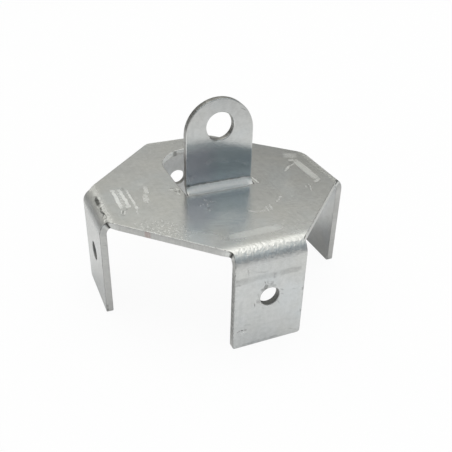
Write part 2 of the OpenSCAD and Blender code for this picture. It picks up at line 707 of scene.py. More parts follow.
@dataclass
class Blank:
    """The flat blank, cut out of sheet with its holes and with its edges rolled over.

    Attributes:
        sizes: The bracket's sizes.
        edge: Section of its sheared edges.
        bend_steps: Facets round each bend.
        crease: Width of the flat strip beside each bend, which keeps the flats' shading flat.
    """

    sizes: SheetSizes
    edge: ShearedEdge = field(default_factory=ShearedEdge)
    bend_steps: int = 18
    crease: float = 0.05 * MM

    LUG_PART = "lug_part"
    CUT = "cut_edge"
    DEPTH = "sheet_depth"
    FLAT_MAP = "flat_blank"

    def outer_edge(self) -> list[Vector]:
        """Draws the outline of the blank: the plate's slanting edges and the four legs.

        Returns:
            The outline's points, anticlockwise.
        """
        s = self.sizes
        half = s.leg_width / 2
        shoulder = half + s.leg_bend + s.thickness - s.slant_in
        dip = math.asin((shoulder - half) / (s.leg_bend + s.thickness))
        notch = s.leg_line + s.leg_arc * dip / (math.pi / 2)
        leg = [
            (s.leg_line, -shoulder, s.shoulder_round),
            (notch, -half, s.notch_round),
            (s.leg_end, -half, s.foot_round),
            (s.leg_end, half, s.foot_round),
            (notch, half, s.notch_round),
            (s.leg_line, shoulder, s.shoulder_round),
        ]
        corners = []
        for way in Leg:
            for x, y, radius in leg:
                place = turned(Vector((x, y)), way.turn)
                corners.append(Corner(place.x, place.y, radius))
        return rounded_outline(corners)

    def lug_cut(self) -> list[Vector]:
        """Draws the edge of the cut round the lug.

        Returns:
            Its points, out round the window and back round the lug.
        """
        s = self.sizes
        lug = s.lug_width / 2
        window = lug + s.side_cut
        root = lug + s.root_cut
        full = s.lug_line + s.root_run
        tip = s.on_lug_blank(s.lug_height)
        far = tip + s.tip_cut
        end = s.root_cut * 0.45
        corners = [
            Corner(-root, s.lug_line, end),
            Corner(-window, full),
            Corner(-window, far, window),
            Corner(window, far, window),
            Corner(window, full),
            Corner(root, s.lug_line, end),
            Corner(lug, s.lug_line, end),
            Corner(lug, tip, lug),
            Corner(-lug, tip, lug),
            Corner(-lug, s.lug_line, end),
        ]
        return rounded_outline(corners, math.radians(3))

    def holes(self) -> list[list[Vector]]:
        """Draws the edges of the screw holes, the bolt hole and the cut round the lug.

        Returns:
            The points of each, clockwise.
        """
        s = self.sizes
        reach = Vector((s.on_leg_blank(s.screw_height), 0.0))
        found = [circle_outline(turned(reach, leg.turn), s.screw_hole, 80) for leg in Leg]
        bolt = Vector((0.0, s.on_lug_blank(s.bolt_height)))
        found.append(circle_outline(bolt, s.bolt_hole))
        found.append(self.lug_cut())
        return found

    def build(self, name: str) -> bpy.types.Object:
        """Makes the flat blank, with its top face at height 0.

        Args:
            name: Name of the new object.

        Returns:
            The blank as an object in the scene.
        """
        mesh = bmesh.new()
        cut = mesh.verts.layers.float.new(self.CUT)
        faces: dict[bool, list[bmesh.types.BMEdge]] = {True: [], False: []}
        section = self.edge.section(self.sizes.thickness)
        for outline in (self.outer_edge(), *self.holes()):
            rings = []
            for run, height, share in section:
                ring = [mesh.verts.new((p.x, p.y, height)) for p in inset(outline, run)]
                for vertex in ring:
                    vertex[cut] = share
                rings.append(ring)
            count = len(outline)
            for upper, lower in zip(rings, rings[1:]):
                for i in range(count):
                    j = (i + 1) % count
                    mesh.faces.new((upper[i], upper[j], lower[j], lower[i]))
            for is_top, ring in ((True, rings[0]), (False, rings[-1])):
                faces[is_top] += [
                    mesh.edges.get((ring[i], ring[(i + 1) % count])) for i in range(count)
                ]
        for is_top, edges in faces.items():
            bmesh.ops.triangle_fill(
                mesh, use_beauty=True, edges=edges, normal=(0, 0, 1 if is_top else -1)
            )
        self._crease_lines(mesh)
        bmesh.ops.recalc_face_normals(mesh, faces=mesh.faces)
        self._label(mesh)
        return self._as_object(mesh, name)

    def _crease_lines(self, mesh: bmesh.types.BMesh) -> None:
        """Cuts the blank across along every line that a bend needs to turn at.

        Args:
            mesh: The blank.
        """
        s = self.sizes
        bends = [(leg.turn, s.leg_line, s.leg_arc) for leg in Leg]
        bends.append((Leg.BACK.turn, s.lug_line, s.lug_arc))
        for turn, line, arc in bends:
            stops = [line + arc * i / self.bend_steps for i in range(self.bend_steps + 1)]
            stops += [line - self.crease, line + arc + self.crease]
            way = turned(Vector((1.0, 0.0)), turn)
            normal = Vector((way.x, way.y, 0.0))
            for stop in stops:
                bmesh.ops.bisect_plane(
                    mesh, geom=[*mesh.verts, *mesh.edges, *mesh.faces], dist=1e-7,
                    plane_co=normal * stop, plane_no=normal,
                )

    def _label(self, mesh: bmesh.types.BMesh) -> None:
        """Marks what belongs to the lug, how deep each point lies, and its place when flat.

        Args:
            mesh: The blank.
        """
        s = self.sizes
        lug_part = mesh.verts.layers.float.new(self.LUG_PART)
        depth = mesh.verts.layers.float.new(self.DEPTH)
        centre = Vector((0.0, s.on_lug_blank(s.lug_height) - s.lug_width / 2))
        reach = s.lug_width / 2 + s.root_cut / 2
        for vertex in mesh.verts:
            place = vertex.co.xy
            beyond = place.y > s.lug_line + 1e-7
            beside = abs(place.x) < reach and place.y < centre.y
            inside = beside or (place - centre).length < reach
            vertex[lug_part] = float(beyond and inside)
            vertex[depth] = -vertex.co.z / s.thickness
        flat = mesh.loops.layers.uv.new(self.FLAT_MAP)
        for face in mesh.faces:
            face.smooth = True
            for loop in face.loops:
                loop[flat].uv = loop.vert.co.xy / (2 * s.leg_end) + Vector((0.5, 0.5))

    @staticmethod
    def _as_object(mesh: bmesh.types.BMesh, name: str) -> bpy.types.Object:
        """Turns the built mesh into an object in the scene.

        Args:
            mesh: The built mesh, which is freed.
            name: Name of the object.

        Returns:
            The object.
        """
        data = bpy.data.meshes.new(name)
        mesh.to_mesh(data)
        mesh.free()
        made = bpy.data.objects.new(name, data)
        bpy.context.scene.collection.objects.link(made)
        return made


class Face(Enum):
    """Faces of the folded bracket that carry marks."""

    PLATE = "plate"
    FRONT_LEG = "front leg"
    RIGHT_LEG = "right leg"
    LEFT_LEG = "left leg"
    LUG = "lug"

    def on_blank(self, sizes: SheetSizes, across: float, along: float) -> tuple[float, float, float]:
        """Finds a place on this face on the flat blank.

        Args:
            sizes: The bracket's sizes.
            across: X in millimetres, or Y on the left and right legs.
            along: Y in millimetres on the plate, and the height above the floor elsewhere.

        Returns:
            The place on the blank, in millimetres from its middle.
        """
        if self is Face.PLATE:
            return (across, along, 0.0)
        if self is Face.LUG:
            return (across, sizes.on_lug_blank(along * MM - sizes.plate_top) / MM, 0.0)
        reach = sizes.on_leg_blank(along * MM) / MM
        if self is Face.FRONT_LEG:
            return (across, -reach, 0.0)
        return (reach if self is Face.RIGHT_LEG else -reach, across, 0.0)

    @property
    def turned(self) -> bool:
        """Whether the face lies sideways on the blank."""
        return self in (Face.LEFT_LEG, Face.RIGHT_LEG)


class Broken(Enum):
    """How much a mark is broken up, as the share that its gaps take away."""

    SLIGHTLY = 0.25
    PARTLY = 0.55
    BADLY = 0.9

    @property
    def socket(self) -> str:
        """Name of the ground group's output that breaks a mark up this much."""
        return f"{self.name.title()} Broken"


def mark_axes(turn: float, half_across: float,
              half_along: float) -> dict[str, tuple[float, float, float]]:
    """Gives a mark's own two directions on the flat blank, each divided by its half size.

    Args:
        turn: How far the mark is turned anticlockwise, in radians.
        half_across: Half its size in its first direction.
        half_along: Half its size in its second direction.

    Returns:
        The Across and Along inputs of the mark's node group.
    """
    cosine, sine = math.cos(turn), math.sin(turn)
    return {"Across": (cosine / half_across, sine / half_across, 0.0),
            "Along": (-sine / half_along, cosine / half_along, 0.0)}


@dataclass(frozen=True)
class Band:
    """A band on one face: a mark of a press tool or of handling, or a patch of painted highlight or
    shade.

    Attributes:
        face: Face it lies on.
        across: Middle of the band across the face, in millimetres.
        along: Middle of the band along the face.
        half_across: Half its size across the face.
        half_along: Half its size along the face.
        strength: How strongly it shows, from 0 to 1.
        broken: How much it is broken up.
        soft: Width of its edge.
        lean: How far it leans over anticlockwise, in degrees.
    """

    face: Face
    across: float
    along: float
    half_across: float
    half_along: float
    strength: float = 0.5
    broken: Broken = Broken.PARTLY
    soft: float = 0.6
    lean: float = 0.0

    def shape(self, sizes: SheetSizes) -> dict[str, object]:
        """Where the band lies on the flat blank, and how it fades at its edge.

        Args:
            sizes: The bracket's sizes.

        Returns:
            The inputs of the band's node group.
        """
        across, along = self.half_across + self.soft / 2, self.half_along + self.soft / 2
        edge = max(0.0, 1.0 - self.soft / min(across, along)) ** 4
        turn = self.lean + (90.0 if self.face.turned else 0.0)
        return {"Centre": self.face.on_blank(sizes, self.across, self.along),
                "Strength": self.strength, "Edge": edge,
                **mark_axes(math.radians(turn), across, along)}


@dataclass(frozen=True)
class Scratch:
    """A scratch, or a streak of painted shade, between two places on one face, in millimetres.

    Attributes:
        face: Face it lies on.
        start: One end, across and along the face.
        end: The other end.
        width: Half its width.
        strength: How strongly it shows, from 0 to 1.
        broken: How much it is broken up.
    """

    face: Face
    start: tuple[float, float]
    end: tuple[float, float]
    width: float = 0.3
    strength: float = 0.5
    broken: Broken = Broken.PARTLY

    def shape(self, sizes: SheetSizes) -> dict[str, object]:
        """Where the scratch lies on the flat blank.

        Args:
            sizes: The bracket's sizes.

        Returns:
            The inputs of the scratch's node group.
        """
        start = Vector(self.face.on_blank(sizes, *self.start))
        end = Vector(self.face.on_blank(sizes, *self.end))
        line = end - start
        turn = math.atan2(line.y, line.x)
        return {"Centre": (start + end) / 2, "Strength": self.strength, "Edge": 0.3,
                **mark_axes(turn, line.length / 2 + self.width, self.width)}


LIGHT_RUBS_AND_HIGHLIGHT = (
    Band(Face.PLATE, -38.05, 1.0, 0.45, 7.6, 0.85, Broken.SLIGHTLY, 0.5),
    Band(Face.PLATE, -38.0, 7.6, 0.85, 0.8, 0.55, Broken.SLIGHTLY, 0.6),
    Band(Face.PLATE, -35.5, 1.0, 0.45, 7.4, 0.80, Broken.SLIGHTLY, 0.5, 1.0),
    Band(Face.PLATE, -35.7, -5.6, 0.8, 0.8, 0.60, Broken.SLIGHTLY, 0.6),
    Band(Face.PLATE, -36.6, 1.0, 1.4, 7.2, 0.26, Broken.PARTLY),
    Band(Face.PLATE, -33.1, -0.3, 0.30, 7.6, 0.75, Broken.PARTLY, 0.4),
    Band(Face.PLATE, -33.1, -7.4, 0.40, 0.9, 0.70, Broken.SLIGHTLY, 0.5),
    Band(Face.PLATE, -26.4, 4.2, 0.45, 2.9, 0.42, Broken.SLIGHTLY, 0.7, -8.0),
    Band(Face.PLATE, -28.2, -2.0, 0.70, 3.2, 0.40, Broken.PARTLY, 0.9, -8.0),
    Band(Face.PLATE, -27.4, 9.0, 1.0, 0.8, 0.16, Broken.PARTLY, 1.2),
    Band(Face.PLATE, 37.85, -1.4, 1.5, 9.6, 0.38, Broken.SLIGHTLY),
    Band(Face.PLATE, 38.5, 7.2, 0.7, 0.7, 0.30, Broken.SLIGHTLY, 0.7),
    Band(Face.PLATE, 36.4, 8.1, 0.9, 0.5, 0.40, Broken.SLIGHTLY, 0.7),
    Band(Face.PLATE, 37.4, -11.2, 1.9, 0.5, 0.42, Broken.SLIGHTLY, 0.7, 38.0),
    Band(Face.PLATE, 38.0, 12.3, 2.2, 1.7, 0.24, Broken.SLIGHTLY, 2.0, -25.0),
    Band(Face.PLATE, 24.6, -10.6, 1.5, 2.6, 0.12, Broken.PARTLY, 2.4, -20.0),
    Band(Face.PLATE, 22.2, -15.4, 2.0, 1.8, 0.10, Broken.PARTLY, 2.4),
    Band(Face.PLATE, -0.8, -36.9, 9.8, 1.6, 0.32, Broken.PARTLY),
    Band(Face.PLATE, 4.4, -37.0, 4.6, 1.2, 0.16, Broken.PARTLY, 0.8),
    Band(Face.PLATE, -4.8, -23.8, 3.8, 3.0, 0.11, Broken.SLIGHTLY, 2.8),
    Band(Face.PLATE, -18.6, -34.2, 4.4, 2.6, 0.12, Broken.SLIGHTLY, 3.4, -45.0),
    # Painted highlight at the right end of the lug's bend.
    Band(Face.PLATE, 12.2, -3.6, 0.8, 1.4, 0.75, Broken.SLIGHTLY, 0.8),
    Band(Face.FRONT_LEG, -4.0, 31.6, 8.0, 1.3, 0.08, Broken.PARTLY, 2.0),
)
DARK_RUBS_AND_SHADE = (
    Band(Face.PLATE, -34.2, 7.6, 0.25, 1.4, 0.30, Broken.SLIGHTLY, 0.5),
    Band(Face.PLATE, 34.8, 5.8, 0.5, 0.6, 0.30, Broken.SLIGHTLY, 0.8),
    Band(Face.FRONT_LEG, -10.6, 28.1, 2.4, 1.0, 0.24, Broken.SLIGHTLY, 0.8),
    Band(Face.FRONT_LEG, -11.8, 27.0, 1.0, 0.2, 0.45, Broken.PARTLY, 0.5),
    Band(Face.FRONT_LEG, -12.3, 28.7, 0.3, 0.6, 0.40, Broken.PARTLY, 0.5),
    Band(Face.FRONT_LEG, -3.0, 28.2, 7.0, 0.8, 0.17, Broken.SLIGHTLY, 1.0),
    Band(Face.FRONT_LEG, 6.9, 28.1, 4.2, 1.0, 0.25, Broken.SLIGHTLY, 0.7),
    Band(Face.FRONT_LEG, 10.3, 28.3, 0.5, 0.6, 0.35, Broken.PARTLY, 0.6),
    Band(Face.FRONT_LEG, 1.2, 28.0, 0.5, 1.1, 0.34, Broken.PARTLY, 0.7),
    Band(Face.FRONT_LEG, -1.7, 23.5, 0.40, 0.8, 0.70, Broken.SLIGHTLY, 0.8, -20.0),
    Band(Face.FRONT_LEG, -2.6, 22.8, 0.6, 0.35, 0.48, Broken.PARTLY, 0.8, 30.0),
    Band(Face.FRONT_LEG, -0.4, 24.3, 0.8, 0.5, 0.35, Broken.BADLY, 0.8),
    Band(Face.FRONT_LEG, -4.2, 18.6, 0.4, 0.6, 0.36, Broken.PARTLY, 1.0),
    Band(Face.FRONT_LEG, 1.4, 23.7, 0.45, 0.4, 0.38, Broken.PARTLY, 0.6),
    Band(Face.FRONT_LEG, 0.5, 25.0, 0.3, 0.4, 0.50, Broken.PARTLY, 0.6),
    Band(Face.FRONT_LEG, 12.6, 19.2, 0.3, 0.5, 0.60, Broken.PARTLY, 0.5),
    Band(Face.FRONT_LEG, 12.7, 9.8, 0.3, 0.5, 0.50, Broken.PARTLY, 0.5),
    Band(Face.FRONT_LEG, -2.0, 0.9, 9.0, 0.3, 0.30, Broken.BADLY, 0.6),
    Band(Face.LEFT_LEG, -12.4, 2.2, 0.6, 1.4, 0.70, Broken.BADLY, 0.8),
    Band(Face.LUG, -2.6, 58.1, 1.7, 0.35, 0.75, Broken.SLIGHTLY, 0.5, -35.0),
    # Painted shade: a thin dark line along the top of the lug's bend, and at its left end.
    Band(Face.LUG, 0.0, 40.9, 12.4, 0.15, 0.9, Broken.PARTLY, 0.45),
    Band(Face.LUG, -8.0, 41.2, 4.0, 0.30, 0.6, Broken.PARTLY, 0.45),
    Band(Face.LUG, -12.3, 40.9, 0.6, 0.7, 0.75, Broken.SLIGHTLY, 0.5),
)
LIGHT_SCRATCHES = (
    Scratch(Face.PLATE, (29.6, 0.3), (33.0, 3.3), 0.60, 0.50),
    Scratch(Face.PLATE, (32.2, 2.8), (36.8, 5.4), 0.50, 0.42),
    Scratch(Face.PLATE, (32.8, -12.5), (30.8, -19.0), 0.35, 0.35),
    Scratch(Face.PLATE, (31.0, -13.0), (30.4, -15.6), 0.30, 0.25),
    Scratch(Face.PLATE, (-38.4, -7.8), (-39.1, -9.7), 0.35, 0.55, Broken.SLIGHTLY),
    Scratch(Face.PLATE, (-37.5, -8.4), (-38.2, -10.4), 0.35, 0.50, Broken.SLIGHTLY),
    Scratch(Face.PLATE, (-33.2, -8.2), (-34.3, -12.8), 0.40, 0.30),
    Scratch(Face.PLATE, (-27.6, 0.2), (-28.4, -6.0), 0.40, 0.45, Broken.SLIGHTLY),
    Scratch(Face.PLATE, (-28.6, -0.8), (-29.6, -4.6), 0.35, 0.40, Broken.SLIGHTLY),
    Scratch(Face.PLATE, (-26.5, 3.8), (-26.4, 1.6), 0.70, 0.40, Broken.SLIGHTLY),
    Scratch(Face.PLATE, (-9.2, -10.0), (-8.2, -12.0), 0.45, 0.26, Broken.SLIGHTLY),
    Scratch(Face.PLATE, (-7.8, -12.2), (-6.0, -13.2), 0.40, 0.28, Broken.SLIGHTLY),
    Scratch(Face.PLATE, (-8.6, -12.8), (-9.6, -15.8), 0.35, 0.28, Broken.SLIGHTLY),
    Scratch(Face.PLATE, (-11.4, -16.6), (-9.9, -17.0), 0.40, 0.28, Broken.SLIGHTLY),
    Scratch(Face.PLATE, (-11.8, -14.4), (-10.2, -13.6), 0.40, 0.30),
    Scratch(Face.PLATE, (-9.8, -17.4), (-10.0, -19.2), 0.35, 0.30),
    Scratch(Face.PLATE, (2.5, -23.5), (5.4, -25.3), 0.50, 0.40, Broken.SLIGHTLY),
    Scratch(Face.PLATE, (5.2, -25.3), (8.8, -25.2), 0.35, 0.26),
    Scratch(Face.PLATE, (10.0, -22.4), (9.2, -25.8), 0.40, 0.38),
    Scratch(Face.PLATE, (11.6, -21.6), (10.9, -25.2), 0.50, 0.38),
    Scratch(Face.PLATE, (14.0, -21.6), (18.0, -18.2), 0.40, 0.28),
    Scratch(Face.PLATE, (17.3, -18.7), (18.3, -17.8), 0.55, 0.40, Broken.SLIGHTLY),
    Scratch(Face.PLATE, (-18.2, 1.3), (-16.6, 0.5), 0.50, 0.40, Broken.SLIGHTLY),
    Scratch(Face.PLATE, (-15.6, 0.9), (-15.0, -0.2), 0.40, 0.55, Broken.SLIGHTLY),
    Scratch(Face.PLATE, (-16.6, -2.0), (-15.8, -3.6), 0.40, 0.45, Broken.SLIGHTLY),
    Scratch(Face.PLATE, (14.8, -0.2), (15.2, -5.6), 0.40, 0.70, Broken.SLIGHTLY),
    Scratch(Face.FRONT_LEG, (-10.6, 6.0), (-8.4, 6.5), 0.35, 0.55),
    Scratch(Face.FRONT_LEG, (-9.4, 31.4), (-8.4, 29.2), 0.45, 0.20),
    Scratch(Face.LUG, (-6.0, 71.0), (-3.6, 72.0), 0.35, 0.60, Broken.SLIGHTLY),
)
DARK_SCRATCHES_AND_SHADE = (
    # Painted shade: a dark band along the crest of the left leg's bend, in place of a dark reflection.
    Scratch(Face.LEFT_LEG, (6.6, 38.0), (-1.6, 37.9), 0.60, 1.00, Broken.SLIGHTLY),
    Scratch(Face.LEFT_LEG, (3.4, 37.9), (-1.0, 37.9), 0.60, 0.80, Broken.SLIGHTLY),
    Scratch(Face.LEFT_LEG, (-2.2, 38.1), (-5.4, 37.6), 0.35, 0.90, Broken.PARTLY),
    Scratch(Face.LEFT_LEG, (-4.0, 37.7), (-8.4, 38.2), 0.45, 1.00, Broken.PARTLY),
    Scratch(Face.LEFT_LEG, (-6.2, 38.2), (-8.8, 37.4), 0.30, 0.80, Broken.PARTLY),
    Scratch(Face.PLATE, (-38.0, -8.0), (-38.6, -10.0), 0.35, 0.55, Broken.SLIGHTLY),
    Scratch(Face.PLATE, (-39.4, -10.7), (-38.6, -11.2), 0.35, 0.45, Broken.SLIGHTLY),
    Scratch(Face.PLATE, (-36.9, -7.2), (-36.7, -8.0), 0.35, 0.45, Broken.SLIGHTLY),
    Scratch(Face.PLATE, (31.6, -13.6), (31.0, -16.4), 0.30, 0.25),
    Scratch(Face.PLATE, (-10.4, -17.5), (-9.3, -16.2), 0.25, 0.55, Broken.SLIGHTLY),
    Scratch(Face.PLATE, (-9.8, -14.6), (-9.4, -15.6), 0.25, 0.35, Broken.SLIGHTLY),
    Scratch(Face.PLATE, (-16.9, -0.2), (-16.2, -1.2), 0.40, 0.70, Broken.SLIGHTLY),
    Scratch(Face.PLATE, (-14.9, -0.4), (-15.3, -2.2), 0.40, 0.60, Broken.SLIGHTLY),
    Scratch(Face.PLATE, (-17.4, 2.0), (-16.6, 1.7), 0.35, 0.40, Broken.SLIGHTLY),
    Scratch(Face.PLATE, (15.9, -0.6), (16.2, -5.6), 0.25, 0.40, Broken.PARTLY),
    Scratch(Face.PLATE, (9.4, -17.0), (9.9, -17.8), 0.50, 0.18),
    Scratch(Face.PLATE, (-45.6, -14.4), (-43.6, -15.6), 0.30, 0.70, Broken.PARTLY),
    Scratch(Face.FRONT_LEG, (-6.0, 30.8), (-1.6, 29.8), 0.25, 0.30),
    Scratch(Face.FRONT_LEG, (-11.3, 7.2), (-10.5, 7.5), 0.30, 0.55, Broken.SLIGHTLY),
    Scratch(Face.FRONT_LEG, (-10.1, 7.6), (-9.6, 7.5), 0.35, 0.85, Broken.SLIGHTLY),
    Scratch(Face.FRONT_LEG, (-9.0, 7.6), (-8.3, 7.3), 0.30, 0.55, Broken.SLIGHTLY),
    Scratch(Face.FRONT_LEG, (-8.8, 33.0), (-8.0, 29.5), 0.25, 0.30),
    Scratch(Face.FRONT_LEG, (-9.2, 9.7), (-6.4, 9.2), 0.25, 0.30),
    Scratch(Face.FRONT_LEG, (-2.3, 26.4), (-1.9, 24.6), 0.22, 0.50),
    Scratch(Face.FRONT_LEG, (-1.2, 26.0), (-0.9, 24.4), 0.22, 0.45),
    Scratch(Face.FRONT_LEG, (0.2, 25.4), (0.0, 24.2), 0.22, 0.45),
    Scratch(Face.FRONT_LEG, (3.8, 21.4), (5.2, 20.8), 0.22, 0.35),
    Scratch(Face.FRONT_LEG, (4.0, 19.5), (5.0, 18.9), 0.25, 0.45),
    Scratch(Face.FRONT_LEG, (3.0, 17.0), (3.9, 15.4), 0.25, 0.35),
    Scratch(Face.FRONT_LEG, (-5.7, 17.9), (-5.5, 16.6), 0.30, 0.42, Broken.SLIGHTLY),
    Scratch(Face.FRONT_LEG, (-4.6, 21.6), (-4.0, 19.8), 0.25, 0.35),
    Scratch(Face.FRONT_LEG, (-2.6, 15.8), (-2.2, 14.8), 0.22, 0.25),
    Scratch(Face.FRONT_LEG, (8.2, 20.2), (9.8, 19.9), 0.22, 0.20),
    Scratch(Face.FRONT_LEG, (7.6, 3.4), (12.2, 0.9), 0.25, 0.25),
    Scratch(Face.LUG, (7.9, 68.6), (9.9, 67.1), 0.25, 0.45),
    Scratch(Face.LUG, (5.9, 71.2), (7.6, 69.6), 0.25, 0.28),
)
# Painted shade on the walls of the cuts: the front edges of the legs, the bolt hole, the lug's top and
# left edges, the window's walls and the plate's front left edge.
CUT_WALL_SHADE = (
    Band(Face.FRONT_LEG, -13.0, 17.0, 0.7, 16.0, 0.62, Broken.PARTLY),
    Band(Face.RIGHT_LEG, -13.0, 17.0, 0.7, 15.0, 0.22, Broken.PARTLY),
    Band(Face.LUG, -3.7, 58.8, 1.2, 0.9, 0.85, Broken.SLIGHTLY, 0.8, -35.0),
    Band(Face.LUG, 4.5, 60.2, 0.7, 1.6, 0.75, Broken.SLIGHTLY, 0.8, -25.0),
    Band(Face.LUG, 5.0, 64.2, 0.5, 0.8, 0.60, Broken.SLIGHTLY, 0.6, 15.0),
    Band(Face.LUG, -12.2, 64.9, 0.9, 2.4, 0.50, Broken.SLIGHTLY, 0.8, 160.0),
    Band(Face.LUG, -9.9, 68.2, 0.9, 2.8, 0.56, Broken.SLIGHTLY, 0.8, 140.0),
    Band(Face.LUG, -6.8, 70.9, 0.9, 2.6, 0.60, Broken.SLIGHTLY, 0.8, 122.0),
    Band(Face.LUG, -2.6, 72.5, 0.8, 2.4, 0.56, Broken.SLIGHTLY, 0.8, 102.0),
    Band(Face.LUG, 3.6, 72.3, 0.7, 3.0, 0.45, Broken.PARTLY, 0.6, 74.0),
    Band(Face.LUG, -13.0, 46.5, 0.6, 6.5, 0.65, Broken.SLIGHTLY, 1.0),
    Band(Face.PLATE, -13.0, -1.5, 0.6, 3.5, 0.65, Broken.SLIGHTLY, 1.0),
    Band(Face.PLATE, -5.3, 32.8, 0.9, 0.9, 0.55, Broken.SLIGHTLY, 0.8),
    Band(Face.PLATE, -29.2, -29.2, 1.2, 20.0, 0.14, Broken.BADLY, 1.0, 45.0),
)
# Painted highlight on the cut wall at the far left of the window.
WINDOW_WALL_HIGHLIGHTS = (
    Band(Face.PLATE, -10.4, 28.7, 1.0, 5.6, 1.00, Broken.SLIGHTLY, 2.0, 141.0),
    Band(Face.PLATE, -2.4, 33.6, 0.8, 2.2, 0.60, Broken.SLIGHTLY, 1.4, 101.0),
)
RUST_SPOTS = (Band(Face.PLATE, -34.3, -24.05, 0.6, 0.8, 0.36, Broken.SLIGHTLY, 0.8, 45.0),)
# Painted shade low on the lug, tinted purple on the left and green on the right.
LEFT_SHADE_TINT = (Band(Face.LUG, -7.4, 48.2, 5.4, 5.4, 0.62, Broken.SLIGHTLY, 4.5),)
RIGHT_SHADE_TINT = (Band(Face.LUG, 4.6, 47.6, 8.2, 5.4, 0.62, Broken.SLIGHTLY, 4.5),)


class MarkGroups:
    """Node groups for the plating and its marks, each built once and placed many times."""

    def __init__(self) -> None:
        """Builds the groups."""
        self.ground = self._ground()
        self.rub = self._mark("Band mark", square=True)
        self.scratch = self._mark("Scratch", square=False)
        self.notch = self._notch()

    @staticmethod
    def _begin(name: str, inputs: dict[str, str], outputs: dict[str, str]) -> tuple[
        NodeTree, bpy.types.NodeOutputs, bpy.types.NodeInputs
    ]:
        """Starts a shader group with named sockets.

        Args:
            name: The group's name.
            inputs: Kind of each input by name.
            outputs: Kind of each output by name.

        Returns:
            The tree being built, its given sockets and its result's sockets.
        """
        group = bpy.data.node_groups.new(name, "ShaderNodeTree")
        for label, kind in inputs.items():
            socket_on(group, label, kind)
        for label, kind in outputs.items():
            socket_on(group, label, kind, "OUTPUT")
        nodes = NodeTree(group)
        given = nodes.add("NodeGroupInput").outputs
        return nodes, given, nodes.add("NodeGroupOutput").inputs

    def _ground(self) -> bpy.types.NodeTree:
        """Builds the group for what the whole plating shares.

        Returns:
            A group that gives broad clouds, a finer mottle, tints of the passivation, a fine
            tooth, peened facets, the streaks of rolled sheet, a field that breaks marks up, and
            a slightly wandering place to lay them at.
        """
        nodes, given, result = self._begin(
            "Plating ground", {"Flat": "Vector"},
            {**{label: "Float" for label in
                ("Cloud", "Mottle", "Tint", "Tooth", "Peen", "Streak", "Breaks")},
             **{broken.socket: "Float" for broken in Broken}, "Wander": "Vector"},
        )
        flat = given["Flat"]
        nodes.feed(result["Cloud"], nodes.noise(flat, 0.08, 4.0, 0.6))
        nodes.feed(result["Mottle"], nodes.noise(flat, 0.5, 4.0, 0.7))
        nodes.feed(result["Tint"], nodes.noise(flat, 0.06, 2.0, 0.5))
        nodes.feed(result["Tooth"], nodes.noise(flat, 2.2, 2.0, 0.5))
        nodes.feed(result["Peen"], nodes.noise(flat, 0.9, 3.0, 0.6))
        along = nodes.stretch(flat, (0.9, 0.07, 1.0), math.radians(-35))
        nodes.feed(result["Streak"], nodes.noise(along, 1.0, 3.0, 0.6))
        breaks = nodes.ramp(nodes.noise(flat, 1.1, 3.0, 0.65), 0.36, 0.62)
        nodes.feed(result["Breaks"], breaks)
        for broken in Broken:
            share = broken.value
            nodes.feed(result[broken.socket], nodes.math("MULTIPLY_ADD", breaks, share, 1.0 - share))
        swing = nodes.add("ShaderNodeTexNoise")
        nodes.feed(swing.inputs["Vector"], flat)
        nodes.feed(swing.inputs["Scale"], 0.45)
        nodes.feed(swing.inputs["Detail"], 2.0)
        centred = nodes.vector("SUBTRACT", swing.outputs["Color"], (0.5, 0.5, 0.5)).outputs[0]
        moved = nodes.vector("MULTIPLY_ADD", centred, (1.1, 1.1, 0.0), flat).outputs[0]
        nodes.feed(result["Wander"], moved)
        return nodes.tree

    def _mark(self, name: str, square: bool) -> bpy.types.NodeTree:
        """Builds the group for one mark, a band or a scratch.

        Args:
            name: The group's name.
            square: Whether the mark fills its box rather than tapering to its ends.

        Returns:
            A group that gives the stronger of the mark and the marks laid before it.
        """
        nodes, given, result = self._begin(
            name,
            {"Flat": "Vector", "Kept": "Float", "Centre": "Vector", "Across": "Vector",
             "Along": "Vector", "Edge": "Float", "Strength": "Float", "Before": "Float"},
            {"Mask": "Float"},
        )
        own = nodes.vector("SUBTRACT", given["Flat"], given["Centre"]).outputs[0]
        away: bpy.types.NodeSocket | float = 0.0
        for direction in ("Across", "Along"):
            reach = nodes.vector("DOT_PRODUCT", own, given[direction]).outputs["Value"]
            reach = nodes.math("MULTIPLY", reach, reach)
            power = (reach, reach) if square else (reach, 1.0)
            away = nodes.math("MULTIPLY_ADD", *power, away)
        steep = nodes.math("DIVIDE", given["Strength"], nodes.math("SUBTRACT", 1.0, given["Edge"]))
        shown = nodes.math("MULTIPLY", nodes.math("SUBTRACT", 1.0, away), steep)
        shown = nodes.math("MINIMUM", shown, given["Strength"])
        shown = nodes.math("MULTIPLY", shown, given["Kept"])
        nodes.feed(result["Mask"], nodes.math("MAXIMUM", shown, given["Before"]))
        return nodes.tree

    def _notch(self) -> bpy.types.NodeTree:
        """Builds the group for a round spot that is repeated on every leg.

        Returns:
            A group that gives 1 at each such spot and 0 away from them.
        """
        nodes, given, result = self._begin(
            "Spots on every leg", {"Flat": "Vector", "Reach": "Float", "Half": "Float",
                                 "Size": "Float"}, {"Mask": "Float"},
        )
        split = nodes.add("ShaderNodeSeparateXYZ")
        nodes.feed(split.inputs[0], nodes.vector("ABSOLUTE", given["Flat"]).outputs[0])
        wide, deep, _ = split.outputs
        long = nodes.math("SUBTRACT", nodes.math("MAXIMUM", wide, deep), given["Reach"])
        short = nodes.math("SUBTRACT", nodes.math("MINIMUM", wide, deep), given["Half"])
        square = nodes.math("MULTIPLY_ADD", long, long, nodes.math("MULTIPLY", short, short))
        away = nodes.math("DIVIDE", nodes.math("SQRT", square), given["Size"])
        nodes.feed(result["Mask"], nodes.math("SUBTRACT", 1.25, away, clamp=True))
        return nodes.tree


